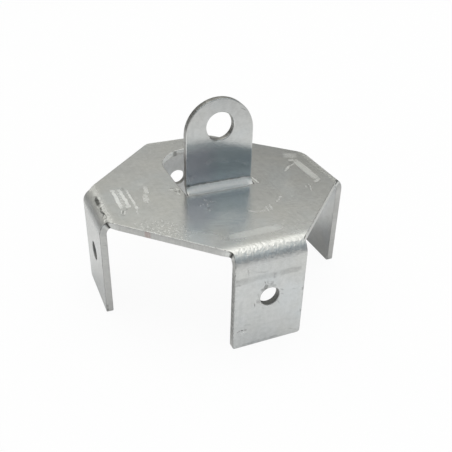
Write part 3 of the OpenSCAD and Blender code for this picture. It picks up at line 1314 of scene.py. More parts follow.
@dataclass(frozen=True)
class SheetPlace:
    """What the plating's node tree reads about the place that it covers.

    Attributes:
        nodes: The material's tree.
        marks: The node groups for the marks.
        sizes: The bracket's sizes.
        flat: Place on the flat blank, in millimetres from its middle.
        ground: What the whole plating shares.
        cut: How much the place belongs to a sheared edge, from 0 to 1.
        depth: How deep it lies in the sheet, from 0 to 1.
        lug: Whether it is on the lug.
        top: Whether it is on the top face or its rolled corner.
        wall: Whether it is on the wall of a cut.
    """

    nodes: NodeTree
    marks: MarkGroups
    sizes: SheetSizes
    flat: bpy.types.NodeSocket
    ground: bpy.types.NodeOutputs
    cut: bpy.types.NodeSocket
    depth: bpy.types.NodeSocket
    lug: bpy.types.NodeSocket
    top: bpy.types.NodeSocket
    wall: bpy.types.NodeSocket

    @classmethod
    def read(cls, nodes: NodeTree, marks: MarkGroups, sizes: SheetSizes) -> "SheetPlace":
        """Adds the nodes that read the sheet's flat map and its attributes.

        Args:
            nodes: The material's tree.
            marks: The node groups for the marks.
            sizes: The bracket's sizes, which give the scale of its flat map.

        Returns:
            The place, ready for the plating to be laid on it.
        """
        span = 2 * sizes.leg_end / MM
        mapped = nodes.add("ShaderNodeUVMap", uv_map=Blank.FLAT_MAP).outputs[0]
        flat = nodes.stretch(mapped, (span, span, 1.0), place=(-span / 2, -span / 2, 0.0))
        ground = nodes.group(marks.ground, "ShaderNodeGroup", Flat=flat).outputs
        cut, depth, lug = (
            nodes.add("ShaderNodeAttribute", attribute_name=name).outputs["Fac"]
            for name in (Blank.CUT, Blank.DEPTH, Blank.LUG_PART)
        )
        return cls(
            nodes, marks, sizes, flat, ground, cut, depth, lug,
            top=nodes.math("LESS_THAN", depth, 0.3), wall=nodes.ramp(cut, 0.75, 1.0),
        )

    def along(self) -> bpy.types.NodeSocket:
        """Finds the place along Y on the flat blank.

        Returns:
            The place, in millimetres from the middle.
        """
        split = self.nodes.add("ShaderNodeSeparateXYZ")
        self.nodes.feed(split.inputs[0], self.flat)
        return split.outputs[1]

    def reach(self) -> bpy.types.NodeSocket:
        """Finds how far out toward a foot the place lies on the flat blank.

        Returns:
            The larger of its two distances from the middle, in millimetres.
        """
        split = self.nodes.add("ShaderNodeSeparateXYZ")
        self.nodes.feed(split.inputs[0], self.nodes.vector("ABSOLUTE", self.flat).outputs[0])
        return self.nodes.most(split.outputs[0], split.outputs[1])

    def laid(self, rubs: Sequence[Band],
             scratches: Sequence[Scratch] = ()) -> bpy.types.NodeSocket | float:
        """Lays rubbed bands and scratches.

        Args:
            rubs: The bands.
            scratches: The scratches.

        Returns:
            How strongly the strongest of them shows here, from 0 to 1.
        """
        shown: bpy.types.NodeSocket | float = 0.0
        for group, kind in ((self.marks.rub, rubs), (self.marks.scratch, scratches)):
            for mark in kind:
                shown = self.nodes.group(
                    group, "ShaderNodeGroup", Flat=self.ground["Wander"],
                    Kept=self.ground[mark.broken.socket], Before=shown, **mark.shape(self.sizes),
                ).outputs[0]
        return shown

    def spot(self, reach: float, half: float, size: float) -> bpy.types.NodeSocket:
        """Finds a round spot that is repeated on every leg.

        Args:
            reach: From the middle of the blank to the spot's level, in millimetres.
            half: From the middle of the leg to the spot.
            size: How large the spot is.

        Returns:
            1 at the spot and 0 away from it.
        """
        found = self.nodes.group(
            self.marks.notch, "ShaderNodeGroup", Flat=self.flat, Reach=reach, Half=half, Size=size
        )
        return found.outputs[0]


@dataclass(frozen=True)
class WearAndPaintedLight:
    """How much each kind of wear, painted highlight and painted shade shows at a place, each from 0 to
    1.

    Attributes:
        bend: Metal stretched round the bend of a leg.
        crest: The crest of that bend, where a highlight is painted.
        sag: How far the plate has sagged toward the front bend.
        fillet: The bend of the lug, where a sheen is painted.
        light: Bright rubs and scratches, painted glints, and a highlight painted at the right end of
            the lug's bend.
        dark: Dark rubs, scratches and rolled corners, and painted shade in the corner pits, dark
            specks, hole and cut walls, and along the bends of the lug and the left leg.
        rim: A highlight painted on the rolled corners of the lug and of the window.
        window_highlight: A highlight painted on the cut wall at the far left of the window.
        rust: The spot where rust comes through.
        tinted_shade: Shade painted low on the left and the right of the lug, tinted purple and green.
    """

    bend: bpy.types.NodeSocket
    crest: bpy.types.NodeSocket
    sag: bpy.types.NodeSocket
    fillet: bpy.types.NodeSocket
    light: bpy.types.NodeSocket
    dark: bpy.types.NodeSocket
    rim: bpy.types.NodeSocket
    window_highlight: bpy.types.NodeSocket
    rust: bpy.types.NodeSocket
    tinted_shade: tuple[bpy.types.NodeSocket, ...]


@dataclass(frozen=True)
class Relief:
    """Heights of the small relief of the plated sheet, in millimetres.

    Attributes:
        tooth: Fine tooth of the plating.
        streak: Streaks of the rolled sheet.
        grain: Peened facets on the flats.
        bend_grain: What a bend adds to those facets.
        sag: How far the plate sags toward the front bend.
        curl: How far the lug still leans out just above its bend.
        shear: Streaks down a sheared edge.
        lug_share: How much of the tooth, streaks and facets the lug shows.
    """

    tooth: float = 0.03
    streak: float = 0.02
    grain: float = 0.02
    bend_grain: float = 0.40
    sag: float = 0.15
    curl: float = 0.03
    shear: float = 0.30
    lug_share: float = 0.3


@dataclass(frozen=True)
class ZincPlating:
    """Bright zinc plating over rolled sheet steel.

    Attributes:
        name: Name of the material.
        colour: Colour of the clean plating.
        shade: Colour of its duller clouds.
        cool: Colour where the passivation is blue.
        warm: Colour where it is yellow.
        cut_colour: Colour of the plating on a sheared edge.
        rub_and_highlight: Colour of tool marks and bright scratches, and of the painted highlights,
            sheen and glints.
        fillet_sheen_foot: Colour of the painted sheen at the foot of the lug's bend.
        shade_tints: Colours of the shade painted low on the left and the right of the lug, tinted
            purple and green.
        rust: Colour of the spot where rust comes through at a sheared edge.
        grime_and_shade: Colour of dark scratches and rubs, and of the painted shade in pits, specks,
            hole and cut walls and along two bends.
        lug_roughness: Roughness of the lug, which the tools have hardly touched.
        plate_roughness: Roughness of the plate and the legs.
        bend_roughness: Roughness of the stretched metal round a bend.
        plate_metal: How metallic the plate and the legs look, where the lug is 1.
        rolled_marking: How strongly the rolled corners of the cuts are marked: a painted highlight
            round the lug and the window, darker patches elsewhere.
        window_reach: Between these two distances from the middle of the blank, in
            millimetres, the cuts change from the window's to the plate's own.
        relief: Heights of the small relief.
    """

    name: str = "zinc_plating"
    colour: tuple[float, float, float, float] = (0.69, 0.695, 0.69, 1.0)
    shade: tuple[float, float, float, float] = (0.60, 0.605, 0.60, 1.0)
    cool: tuple[float, float, float, float] = (0.64, 0.68, 0.71, 1.0)
    warm: tuple[float, float, float, float] = (0.71, 0.695, 0.65, 1.0)
    cut_colour: tuple[float, float, float, float] = (0.65, 0.645, 0.63, 1.0)
    rub_and_highlight: tuple[float, float, float, float] = (0.93, 0.93, 0.91, 1.0)
    fillet_sheen_foot: tuple[float, float, float, float] = (0.68, 0.705, 0.715, 1.0)
    shade_tints: tuple[tuple[float, float, float, float], ...] = (
        (0.52, 0.45, 0.48, 1.0), (0.46, 0.49, 0.49, 1.0),
    )
    rust: tuple[float, float, float, float] = (0.50, 0.27, 0.24, 1.0)
    grime_and_shade: tuple[float, float, float, float] = (0.10, 0.10, 0.095, 1.0)
    lug_roughness: float = 0.12
    plate_roughness: float = 0.19
    bend_roughness: float = 0.33
    plate_metal: float = 0.88
    rolled_marking: float = 0.6
    window_reach: tuple[float, float] = (24.0, 30.0)
    relief: Relief = field(default_factory=Relief)

    def make(self, sizes: SheetSizes, marks: MarkGroups) -> bpy.types.Material:
        """Builds the material.

        Args:
            sizes: The bracket's sizes.
            marks: The node groups for the marks.

        Returns:
            The material.
        """
        material = bpy.data.materials.new(self.name)
        material.use_nodes = True
        material.node_tree.nodes.clear()
        nodes = NodeTree(material.node_tree)
        place = SheetPlace.read(nodes, marks, sizes)
        wear = self._wear(place)
        shader = nodes.add("ShaderNodeBsdfPrincipled")
        for name, source in (
            ("Base Color", self._colour(place, wear)),
            ("Metallic", self._metal(place, wear)),
            ("Roughness", self._roughness(place, wear)),
            ("Normal", self._bump(place, wear)),
        ):
            nodes.feed(shader.inputs[name], source)
        surface = nodes.add("ShaderNodeOutputMaterial")
        nodes.feed(surface.inputs["Surface"], shader.outputs[0])
        return material

    def _wear(self, place: SheetPlace) -> WearAndPaintedLight:
        """Works out all the wear, and where highlights, sheen and shade are painted.

        Args:
            place: The place on the sheet.

        Returns:
            How much of each kind shows there.
        """
        nodes, ground = place.nodes, place.ground
        bend, crest, sag = self._bend(place)
        # Painted glints and dark specks near the plate's front left edge.
        painted_glints, painted_dark_specks = self._glint_flecks(place)
        light = nodes.times(place.laid(LIGHT_RUBS_AND_HIGHLIGHT, LIGHT_SCRATCHES), place.top)
        # Rolled corners: a painted highlight round the lug and the window, darkened in broken patches
        # elsewhere.
        rolled = nodes.times(self._rolled(place), self.rolled_marking)
        outer = nodes.ramp(place.reach(), *self.window_reach)
        bright = nodes.most(place.lug, nodes.rest(outer))
        darkened_rolled = nodes.times(nodes.rest(ground["Breaks"]), rolled, nodes.rest(bright))
        dark = nodes.most(place.laid(DARK_RUBS_AND_SHADE, DARK_SCRATCHES_AND_SHADE), painted_dark_specks)
        # Painted shade in the corner pits and on the hole and cut walls joins the dark marks.
        dark = nodes.most(
            nodes.times(dark, place.top), self._corner_shade(place), darkened_rolled, self._hole_wall_shade(place),
            nodes.times(place.laid(CUT_WALL_SHADE), place.wall),
        )
        return WearAndPaintedLight(
            bend=bend,
            # Painted highlight along the crests of the bends.
            crest=nodes.times(crest, ground[Broken.SLIGHTLY.socket]),
            sag=sag,
            # Painted sheen on the lug's bend.
            fillet=nodes.times(self._fillet(place), place.top),
            light=nodes.most(light, painted_glints),
            dark=dark,
            # Painted highlights on the rolled corners of the lug and window, and on the window's far
            # left wall.
            rim=nodes.times(rolled, bright),
            window_highlight=self._window_wall_highlight(place),
            rust=nodes.times(place.laid(RUST_SPOTS), place.wall),
            # Painted shade low on the lug, with its tint.
            tinted_shade=tuple(place.laid(patch) for patch in (LEFT_SHADE_TINT, RIGHT_SHADE_TINT)),
        )

    def _colour(self, place: SheetPlace, wear: WearAndPaintedLight) -> bpy.types.NodeSocket:
        """Lays the colour of the plating, then that of each kind of wear and of each painted
        highlight, sheen and shade over it.

        Args:
            place: The place on the sheet.
            wear: The wear there.

        Returns:
            The colour.
        """
        nodes, ground = place.nodes, place.ground
        dull = nodes.math("MULTIPLY", ground["Streak"], 0.15)
        dull = nodes.add_shares(dull, (ground["Cloud"], 0.25), (ground["Mottle"], 0.6))
        colour = nodes.mix(nodes.ramp(dull, 0.36, 0.64), self.colour, self.shade)
        for share, laid in (
            (nodes.ramp(ground["Tint"], 0.50, 0.66, 0.0, 0.30), self.cool),
            (nodes.ramp(ground["Tint"], 0.36, 0.50, 0.20, 0.0), self.warm),
            (place.wall, self.cut_colour),
            # Painted sheen, highlights and shade are laid here with the wear.
            (wear.fillet, self._painted_fillet_sheen(place)),
            (wear.crest, self.rub_and_highlight),
            (nodes.most(wear.light, wear.rim), self.rub_and_highlight),
            (wear.window_highlight, self.rub_and_highlight),
            *zip(wear.tinted_shade, self.shade_tints),
            (wear.dark, self.grime_and_shade),
            (wear.rust, self.rust),
        ):
            colour = nodes.mix(share, colour, laid)
        return colour

    def _roughness(self, place: SheetPlace, wear: WearAndPaintedLight) -> bpy.types.NodeSocket:
        """Works out the roughness, which most kinds of wear add to.

        Args:
            place: The place on the sheet.
            wear: The wear there.

        Returns:
            The roughness.
        """
        nodes = place.nodes
        flat = nodes.ramp(place.lug, 0.0, 1.0, self.plate_roughness, self.lug_roughness)
        return nodes.add_shares(
            flat,
            (wear.bend, self.bend_roughness - self.plate_roughness),
            (place.ground["Cloud"], 0.03),
            (self._handled(place), 0.07),
            (wear.light, 0.3),
            (wear.fillet, 0.35),
            (nodes.most(place.wall, wear.dark), 0.2),
            clamp=True,
        )

    def _metal(self, place: SheetPlace, wear: WearAndPaintedLight) -> bpy.types.NodeSocket:
        """Works out how metallic the plating looks, which its wear takes away from.

        Args:
            place: The place on the sheet.
            wear: The wear there.

        Returns:
            1 for bare metal and 0 for a dull powdery film.
        """
        return place.nodes.add_shares(
            place.nodes.ramp(place.lug, 0.0, 1.0, self.plate_metal, 1.0),
            (wear.crest, 1.0 - self.plate_metal),
            (wear.fillet, -0.75),
            (wear.light, -0.6),
            (wear.window_highlight, -0.8),
            (wear.rust, -0.8),
            clamp=True,
        )

    @staticmethod
    def _bend(place: SheetPlace) -> tuple[bpy.types.NodeSocket, ...]:
        """Works out how the bends of the legs show.

        Args:
            place: The place on the sheet.

        Returns:
            How much the place belongs to a bend, how much to the crest of a bend, where a highlight is
            painted, and how far the plate has sagged there toward the front.
        """
        nodes, sizes = place.nodes, place.sizes
        reach = place.reach()
        start, end = sizes.leg_line / MM, (sizes.leg_line + sizes.leg_arc) / MM
        rise = nodes.ramp(reach, start - 0.6, start + 1.0)
        bend = nodes.times(rise, nodes.ramp(reach, end - 1.0, end + 1.0, 1.0, 0.0))
        rise = nodes.ramp(reach, start - 1.2, start + 1.6)
        crest = nodes.times(rise, nodes.ramp(reach, start + 2.6, start + 3.9, 1.0, 0.0))
        sag = nodes.ramp(place.along(), -start + 2.2, -start - 2.8)
        return bend, crest, sag

    @staticmethod
    def _handled(place: SheetPlace) -> bpy.types.NodeSocket:
        """Finds where the plate is duller from handling, toward its front.

        Args:
            place: The place on the sheet.

        Returns:
            How dull it is there, from 0 to 1.
        """
        nodes, along = place.nodes, place.along()
        near = nodes.ramp(along, -40.0, -18.0, 1.0, 0.0)
        return nodes.times(near, nodes.ramp(along, -46.0, -42.0))

    @staticmethod
    def _fillet(place: SheetPlace) -> bpy.types.NodeSocket:
        """Finds the bend of the lug, where a sheen is painted.

        Args:
            place: The place on the sheet.

        Returns:
            How much the place belongs to it, from 0 to 1.
        """
        start = place.sizes.lug_line / MM - 0.6
        end = (place.sizes.lug_line + place.sizes.lug_arc) / MM + 0.3
        half = (end - start) / 2
        laid = place.nodes.group(
            place.marks.rub, "ShaderNodeGroup", Flat=place.ground["Wander"],
            Kept=place.ground[Broken.SLIGHTLY.socket], Centre=(0.0, start + half, 0.0),
            Edge=0.45, Strength=1.0, **mark_axes(0.0, 13.8, half + 0.1),
        )
        return laid.outputs[0]

    def _painted_fillet_sheen(self, place: SheetPlace) -> bpy.types.NodeSocket:
        """Painted sheen on the bend of the lug: darker at its foot and lighter higher up."""
        return place.nodes.mix(
            place.nodes.ramp(place.along(), -4.4, -0.8), self.fillet_sheen_foot, self.rub_and_highlight
        )

    @staticmethod
    def _glint_flecks(place: SheetPlace) -> tuple[bpy.types.NodeSocket, ...]:
        """Lays painted glints and dark specks near the plate's front left edge, where its rough
        coating catches the light.

        Args:
            place: The place on the sheet.

        Returns:
            How much the painted glints show, and how much the painted dark specks do.
        """
        nodes = place.nodes
        speckled = nodes.group(
            place.marks.scratch, "ShaderNodeGroup", Flat=place.flat, Kept=1.0,
            Centre=(-29.0, -24.0, 0.0), Strength=1.0, **mark_axes(math.radians(-45), 13.0, 7.0),
        ).outputs[0]
        specks = nodes.noise(place.flat, 1.1, 2.0, 0.6)
        bright = nodes.ramp(specks, 0.55, 0.67, 0.0, 0.62)
        dark = nodes.ramp(specks, 0.34, 0.45, 0.24, 0.0)
        return nodes.times(speckled, bright), nodes.times(speckled, dark)

    @staticmethod
    def _corner_shade(place: SheetPlace) -> bpy.types.NodeSocket:
        """Paints shade into the inner corners beside the legs, and on the rim round them.

        Args:
            place: The place on the sheet.

        Returns:
            How dark it is there, from 0 to 1.
        """
        nodes, sizes, cut = place.nodes, place.sizes, place.cut
        reach = (sizes.leg_line + 0.31 * sizes.leg_arc) / MM
        half = sizes.leg_width / 2 / MM
        pit = nodes.times(place.spot(reach, half, 0.75), nodes.ramp(cut, 0.05, 0.5))
        inner, outer = nodes.ramp(cut, 0.02, 0.3), nodes.ramp(cut, 0.9, 1.0, 1.0, 0.0)
        return nodes.most(nodes.times(place.spot(reach, half + 0.4, 1.3), inner, outer), pit)

    @staticmethod
    def _hole_wall_shade(place: SheetPlace) -> bpy.types.NodeSocket:
        """Paints shade on the walls of the screw holes and, less so, of the bolt hole.

        Args:
            place: The place on the sheet.

        Returns:
            How dark it is there, from 0 to 1.
        """
        sizes = place.sizes
        shaded_walls = (
            place.nodes.times(place.spot(reach / MM, 0.0, 2.2 * radius / MM), strength)
            for reach, radius, strength in (
                (sizes.on_leg_blank(sizes.screw_height), sizes.screw_hole, 0.78),
                (sizes.on_lug_blank(sizes.bolt_height), sizes.bolt_hole, 0.5),
            )
        )
        return place.nodes.times(place.nodes.most(*shaded_walls), place.wall)

    @staticmethod
    def _window_wall_highlight(place: SheetPlace) -> bpy.types.NodeSocket:
        """Finds the highlight painted on the cut wall at the far left of the window.

        Args:
            place: The place on the sheet.

        Returns:
            How strongly the painted highlight shows there, from 0 to 1.
        """
        nodes = place.nodes
        deep = nodes.math("SUBTRACT", nodes.times(place.laid(WINDOW_WALL_HIGHLIGHTS), 1.1), place.depth)
        return nodes.times(nodes.ramp(deep, -0.05, 0.12), place.wall, nodes.rest(place.lug))

    @staticmethod
    def _rolled(place: SheetPlace) -> bpy.types.NodeSocket:
        """Finds the rolled upper corner of a sheared edge.

        Args:
            place: The place on the sheet.

        Returns:
            How much the place belongs to it, from 0 to 1.
        """
        nodes, cut = place.nodes, place.cut
        down = nodes.ramp(cut, 0.75, 1.0, 1.0, 0.0)
        return nodes.times(nodes.ramp(cut, 0.05, 0.4), down, place.top)

    def _bump(self, place: SheetPlace, wear: WearAndPaintedLight) -> bpy.types.NodeSocket:
        """Raises the small relief: tooth, streaks, the grain opened by a bend, shear streaks.

        Args:
            place: The place on the sheet.
            wear: The wear there.

        Returns:
            The direction that the surface faces.
        """
        nodes, ground, relief = place.nodes, place.ground, self.relief
        grain = nodes.math("MULTIPLY_ADD", wear.bend, relief.bend_grain, relief.grain)
        facets = nodes.math("SUBTRACT", ground["Peen"], 0.5)
        height = nodes.add_shares(
            nodes.times(facets, grain), (ground["Tooth"], relief.tooth),
            (ground["Streak"], relief.streak), (wear.sag, -relief.sag),
        )
        height = nodes.times(height, nodes.ramp(place.lug, 0.0, 1.0, 1.0, relief.lug_share))
        curl = nodes.times(nodes.ramp(place.along(), 0.4, 4.4, 1.0, 0.0), place.lug)
        down = nodes.add("ShaderNodeCombineXYZ")
        nodes.feed(down.inputs[2], nodes.times(place.depth, 0.6))
        shear = nodes.noise(nodes.vector("ADD", place.flat, down.outputs[0]).outputs[0], 1.6, 3.0, 0.6)
        height = nodes.add_shares(
            height, (curl, -relief.curl), (nodes.times(shear, place.wall), relief.shear)
        )
        bump = nodes.add("ShaderNodeBump")
        for name, source in (("Strength", 1.0), ("Distance", MM), ("Height", height)):
            nodes.feed(bump.inputs[name], source)
        return bump.outputs[0]


@dataclass
class FoldedBracket:
    """The bracket itself: the folded sheet in its plating.

    Attributes:
        sizes: The bracket's sizes.
        finish: The plating it wears.
        side_bulge: How far the inside of a bend swells out at its ends.
    """

    sizes: SheetSizes
    finish: ZincPlating = field(default_factory=ZincPlating)
    side_bulge: float = 0.25 * MM

    def build(self) -> bpy.types.Object:
        """Cuts, folds and plates the sheet, and puts it in place of the plain solid.

        Returns:
            The finished piece.
        """
        s = self.sizes
        piece = Blank(s).build("folded_sheet")
        plating = self.finish.make(s, MarkGroups())
        SheetFolder().apply(
            piece,
            {
                "Leg Line": s.leg_line,
                "Leg Bend": s.leg_bend,
                "Leg Half Width": s.leg_width / 2,
                "Lug Line": s.lug_line,
                "Lug Bend": s.lug_bend,
                "Lug Half Width": s.lug_width / 2,
                "Thickness": s.thickness,
                "Neutral": s.neutral,
                "Plate Height": s.plate_top,
                "Side Bulge": self.side_bulge,
                "Plating": plating,
            },
        )
        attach(piece, BODY)
        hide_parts(CAD_NODE)
        return piece


@dataclass(frozen=True)
class SkyStop:
    """How bright the room is at one height above the horizon.

    Attributes:
        height: Sine of the height above the horizon, from 0 level to 1 overhead.
        colour: Light that comes from there, where 1 is white.
    """

    height: float
    colour: tuple[float, float, float]


BACK_WALL = (
    SkyStop(0.00, (0.37, 0.37, 0.35)),
    SkyStop(0.35, (0.38, 0.38, 0.36)),
    SkyStop(0.43, (0.52, 0.52, 0.49)),
    SkyStop(0.52, (0.66, 0.66, 0.61)),
    SkyStop(0.62, (0.80, 0.80, 0.75)),
    SkyStop(0.76, (1.08, 1.08, 1.03)),
    SkyStop(0.90, (1.68, 1.68, 1.61)),
    SkyStop(1.00, (1.30, 1.30, 1.26)),
)
FRONT_WALL = (
    SkyStop(0.00, (0.41, 0.41, 0.40)),
    SkyStop(0.18, (0.35, 0.36, 0.36)),
    SkyStop(0.28, (0.01, 0.05, 0.09)),
    SkyStop(0.435, (0.01, 0.05, 0.09)),
    SkyStop(0.455, (0.12, 0.18, 0.23)),
    SkyStop(0.475, (0.26, 0.34, 0.40)),
    SkyStop(0.500, (0.32, 0.43, 0.49)),
    SkyStop(0.515, (0.88, 1.04, 1.11)),
    SkyStop(0.54, (1.08, 1.23, 1.28)),
    SkyStop(0.58, (1.02, 1.12, 1.16)),
    SkyStop(0.62, (0.66, 0.72, 0.76)),
    SkyStop(0.68, (0.32, 0.32, 0.30)),
    SkyStop(0.86, (0.42, 0.42, 0.40)),
    SkyStop(0.96, (1.16, 1.16, 1.13)),
    SkyStop(1.00, (1.30, 1.30, 1.26)),
)


@dataclass(frozen=True)
class SideWall:
    """A side of the room that is darker than its back, low down.

    Attributes:
        share: How bright it is beside the back.
        turn: Where it starts and is fully dark, from -1 at the left to 1 at the right.
        height: Sines of the heights between which it ends.
    """

    share: float
    turn: tuple[float, float]
    height: tuple[float, float]


@dataclass(frozen=True)
class FloorShade:
    """A soft patch of the floor that the metal sees a little darker.

    Attributes:
        place: Middle of the patch, in metres.
        near: Radius inside which it is at its darkest.
        far: Radius at which it ends.
        share: How bright it is beside the open floor.
    """

    place: tuple[float, float]
    near: float
    far: float
    share: float


FLOOR_SHADES = (
    FloorShade((0.043, 0.0), 0.008, 0.030, 0.55),
    FloorShade((0.012, -0.002), 0.012, 0.032, 0.82),
    FloorShade((0.020, -0.105), 0.012, 0.038, 0.92),
    FloorShade((-0.060, 0.060), 0.015, 0.045, 0.89),
    FloorShade((-0.060, -0.005), 0.012, 0.040, 0.80),
    FloorShade((-0.118, 0.133), 0.020, 0.070, 0.55),
)


@dataclass
class Studio:
    """The plain pale studio: floor, soft light and the room that the metal mirrors.

    Attributes:
        floor_half: Half the side of the floor.
        card_reach: How far out the floor stays bright to the metal, and where it has faded.
        card_middle: The point that this is measured from.
        card_faded: How bright it is from there on.
        paint: Colour of the floor under the lamp.
        floor_glow: How much of the floor's white is its own light, to the metal and to the
            camera.
        lamp_side: Width of the soft lamp.
        lamp_place: Where the lamp hangs, a little to the right.
        lamp_power: Power of the lamp, in watts.
        sides: The darker left and right of the room.
        front_ends: Between these two depths, from -1 at the front to 1 at the back, the front
            wall gives way to the back wall.
    """

    floor_half: float = 3.0
    card_reach: tuple[float, float] = (0.055, 0.2475)
    card_middle: tuple[float, float, float] = (0.0, -0.02, 0.0)
    card_faded: float = 0.62
    paint: tuple[float, float, float, float] = (0.97, 0.97, 0.97, 1.0)
    floor_glow: tuple[float, float] = (0.32, 0.94)
    lamp_side: float = 1.2
    lamp_place: tuple[float, float, float] = (0.25, 0.1, 1.1)
    lamp_power: float = 3.3
    sides: tuple[SideWall, ...] = (
        SideWall(0.45, (0.2, -0.15), (0.46, 0.64)),
        SideWall(0.45, (0.30, 0.46), (0.40, 0.53)),
    )
    front_ends: tuple[float, float] = (-0.15, 0.35)

    def build(self) -> bpy.types.Object:
        """Lays the floor, hangs the lamp and sets the room.

        Returns:
            The floor.
        """
        bpy.context.scene.view_settings.view_transform = "Standard"
        self._room()
        self._lamp()
        return self._floor()

    def _floor(self) -> bpy.types.Object:
        """Lays a white floor that keeps the bracket's shadow.

        Returns:
            The floor.
        """
        half = self.floor_half
        data = bpy.data.meshes.new("floor")
        data.from_pydata(
            [(-half, -half, 0), (half, -half, 0), (half, half, 0), (-half, half, 0)], [],
            [(0, 1, 2, 3)],
        )
        floor = bpy.data.objects.new("floor", data)
        bpy.context.scene.collection.objects.link(floor)
        data.materials.append(self._white())
        return floor

    def _white(self) -> bpy.types.Material:
        """Makes the floor's white, which the metal sees darker away from the bracket.

        Returns:
            The material.
        """
        black, white = (0.0, 0.0, 0.0, 1.0), (1.0, 1.0, 1.0, 1.0)
        material = bpy.data.materials.new("white_floor")
        material.use_nodes = True
        material.node_tree.nodes.clear()
        nodes = NodeTree(material.node_tree)
        seen = nodes.add("ShaderNodeLightPath").outputs["Is Camera Ray"]
        place = nodes.add("ShaderNodeTexCoord").outputs["Object"]
        away = nodes.vector("DISTANCE", place, self.card_middle).outputs["Value"]
        card = nodes.ramp(away, *self.card_reach, 1.0, self.card_faded)
        for shade in FLOOR_SHADES:
            away = nodes.vector("DISTANCE", place, (*shade.place, 0.0)).outputs["Value"]
            kept = nodes.ramp(away, shade.near, shade.far, shade.share, 1.0)
            card = nodes.times(card, kept)
        card = nodes.most(card, seen)
        lit = nodes.add("ShaderNodeBsdfDiffuse")
        nodes.feed(lit.inputs["Color"], nodes.mix(card, black, self.paint))
        glow = nodes.add("ShaderNodeEmission")
        nodes.feed(glow.inputs["Color"], nodes.mix(card, black, white))
        blend = nodes.add("ShaderNodeMixShader")
        share = nodes.ramp(seen, 0.0, 1.0, *self.floor_glow, smooth=False)
        for socket, source in zip(blend.inputs, (share, lit.outputs[0], glow.outputs[0])):
            nodes.feed(socket, source)
        surface = nodes.add("ShaderNodeOutputMaterial")
        nodes.feed(surface.inputs["Surface"], blend.outputs[0])
        return material

    def _lamp(self) -> None:
        """Hangs one large soft lamp overhead, which the metal does not mirror."""
        lamp = bpy.data.lights.new("soft_lamp", "AREA")
        lamp.shape = "DISK"
        lamp.size = self.lamp_side
        lamp.energy = self.lamp_power
        hung = bpy.data.objects.new("soft_lamp", lamp)
        hung.location = self.lamp_place
        hung.visible_glossy = False
        hung.rotation_euler = Vector(self.lamp_place).to_track_quat("Z", "Y").to_euler()
        bpy.context.scene.collection.objects.link(hung)

    def _room(self) -> None:
        """Sets what surrounds the bracket: white to the camera, a soft room to the metal."""
        world = bpy.data.worlds.new("room")
        world.use_nodes = True
        world.node_tree.nodes.clear()
        nodes = NodeTree(world.node_tree)
        place = nodes.add("ShaderNodeTexCoord").outputs["Generated"]
        split = nodes.add("ShaderNodeSeparateXYZ")
        nodes.feed(split.inputs[0], place)
        aside, depth, height = split.outputs
        level = nodes.math("SQRT", nodes.rest(nodes.times(height, height)))
        turn = nodes.math("DIVIDE", aside, nodes.most(level, 0.001))
        lost: bpy.types.NodeSocket | float = 0.0
        for side in self.sides:
            taken = nodes.ramp(turn, *side.turn, 0.0, 1.0 - side.share)
            low = nodes.ramp(height, *side.height, 1.0, 0.0)
            lost = nodes.math("MULTIPLY_ADD", taken, low, lost)
        back = nodes.add("ShaderNodeVectorMath", operation="SCALE")
        nodes.feed(back.inputs[0], self._wall(nodes, height, BACK_WALL))
        nodes.feed(back.inputs["Scale"], nodes.rest(lost))
        front = self._wall(nodes, height, FRONT_WALL)
        room = nodes.mix(nodes.ramp(depth, *self.front_ends), front, back.outputs[0])
        path = nodes.add("ShaderNodeLightPath").outputs
        seen = nodes.mix(path["Is Camera Ray"], room, (1.0, 1.0, 1.0, 1.0))
        glow = nodes.add("ShaderNodeBackground")
        nodes.feed(glow.inputs["Color"], seen)
        surface = nodes.add("ShaderNodeOutputWorld")
        nodes.feed(surface.inputs["Surface"], glow.outputs[0])
        bpy.context.scene.world = world

    @staticmethod
    def _wall(nodes: NodeTree, height: object, stops: Sequence[SkyStop]) -> bpy.types.NodeSocket:
        """Colours the room by height.

        Args:
            nodes: The world's tree.
            height: Sine of the height above the horizon.
            stops: Its colours, from the horizon to overhead.

        Returns:
            The colour at that height.
        """
        wall = nodes.add("ShaderNodeValToRGB")
        nodes.feed(wall.inputs[0], height)
        ramp = wall.color_ramp
        while len(ramp.elements) < len(stops):
            ramp.elements.new(1.0)
        for element, stop in zip(ramp.elements, stops):
            element.position = stop.height
            element.color = (*stop.colour, 1.0)
        return wall.outputs[0]


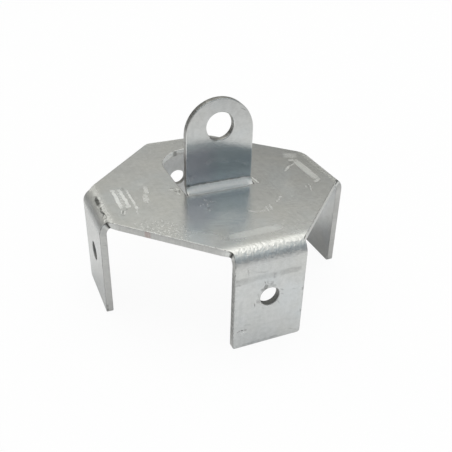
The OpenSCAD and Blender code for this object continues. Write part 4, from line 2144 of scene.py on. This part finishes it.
@dataclass(frozen=True)
class ViewPoint:
    """Where the camera stands, looking down at the bracket from its front left.

    Attributes:
        azimuth: Turn of the line of sight about +Z, in degrees, 0 looking along +Y.
        elevation: How far the camera looks down, in degrees.
        roll: Turn of the picture about the line of sight, in degrees.
        distance: From the camera to the point it is centred on.
        slide: How far the camera stands to the right of that point, and above it.
        lens: Focal length in millimetres on a 36 mm wide picture.
    """

    azimuth: float = -23.824
    elevation: float = 31.374
    roll: float = 1.507
    distance: float = 232.1 * MM
    slide: tuple[float, float] = (3.71 * MM, -16.22 * MM)
    lens: float = 48.875

    def place(self, centre: Vector) -> bpy.types.Object:
        """Sets up the scene's camera.

        Args:
            centre: The point that the camera looks at before it is slid aside.

        Returns:
            The camera.
        """
        turn, tilt = math.radians(self.azimuth), math.radians(self.elevation)
        sight = Vector((
            -math.sin(turn) * math.cos(tilt), math.cos(turn) * math.cos(tilt), -math.sin(tilt)
        ))
        level = sight.cross(Vector((0, 0, 1))).normalized()
        upright = level.cross(sight)
        roll = math.radians(self.roll)
        right = level * math.cos(roll) + upright * math.sin(roll)
        up = upright * math.cos(roll) - level * math.sin(roll)
        stand = centre - sight * self.distance + right * self.slide[0] + up * self.slide[1]
        data = bpy.data.cameras.new("view")
        data.lens = self.lens
        data.sensor_width = 36.0
        data.clip_start = 0.01
        camera = bpy.data.objects.new("view", data)
        camera.matrix_world = Matrix((
            (right.x, up.x, -sight.x, stand.x),
            (right.y, up.y, -sight.y, stand.y),
            (right.z, up.z, -sight.z, stand.z),
            (0, 0, 0, 1),
        ))
        bpy.context.scene.collection.objects.link(camera)
        bpy.context.scene.camera = camera
        return camera


def main() -> None:
    """Builds the bracket and its studio."""
    logging.basicConfig(level=logging.INFO, format="%(name)s: %(message)s")
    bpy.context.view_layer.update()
    sizes = SheetSizes.from_frame()
    piece = FoldedBracket(sizes).build()
    LOG.info("%s: %d faces", piece.name, len(piece.data.polygons))
    floor = Studio().build()
    LOG.info("%s laid", floor.name)
    ViewPoint().place(Vector((0.0, 0.0, sizes.plate_top)))


if __name__ == "__main__":
    main()
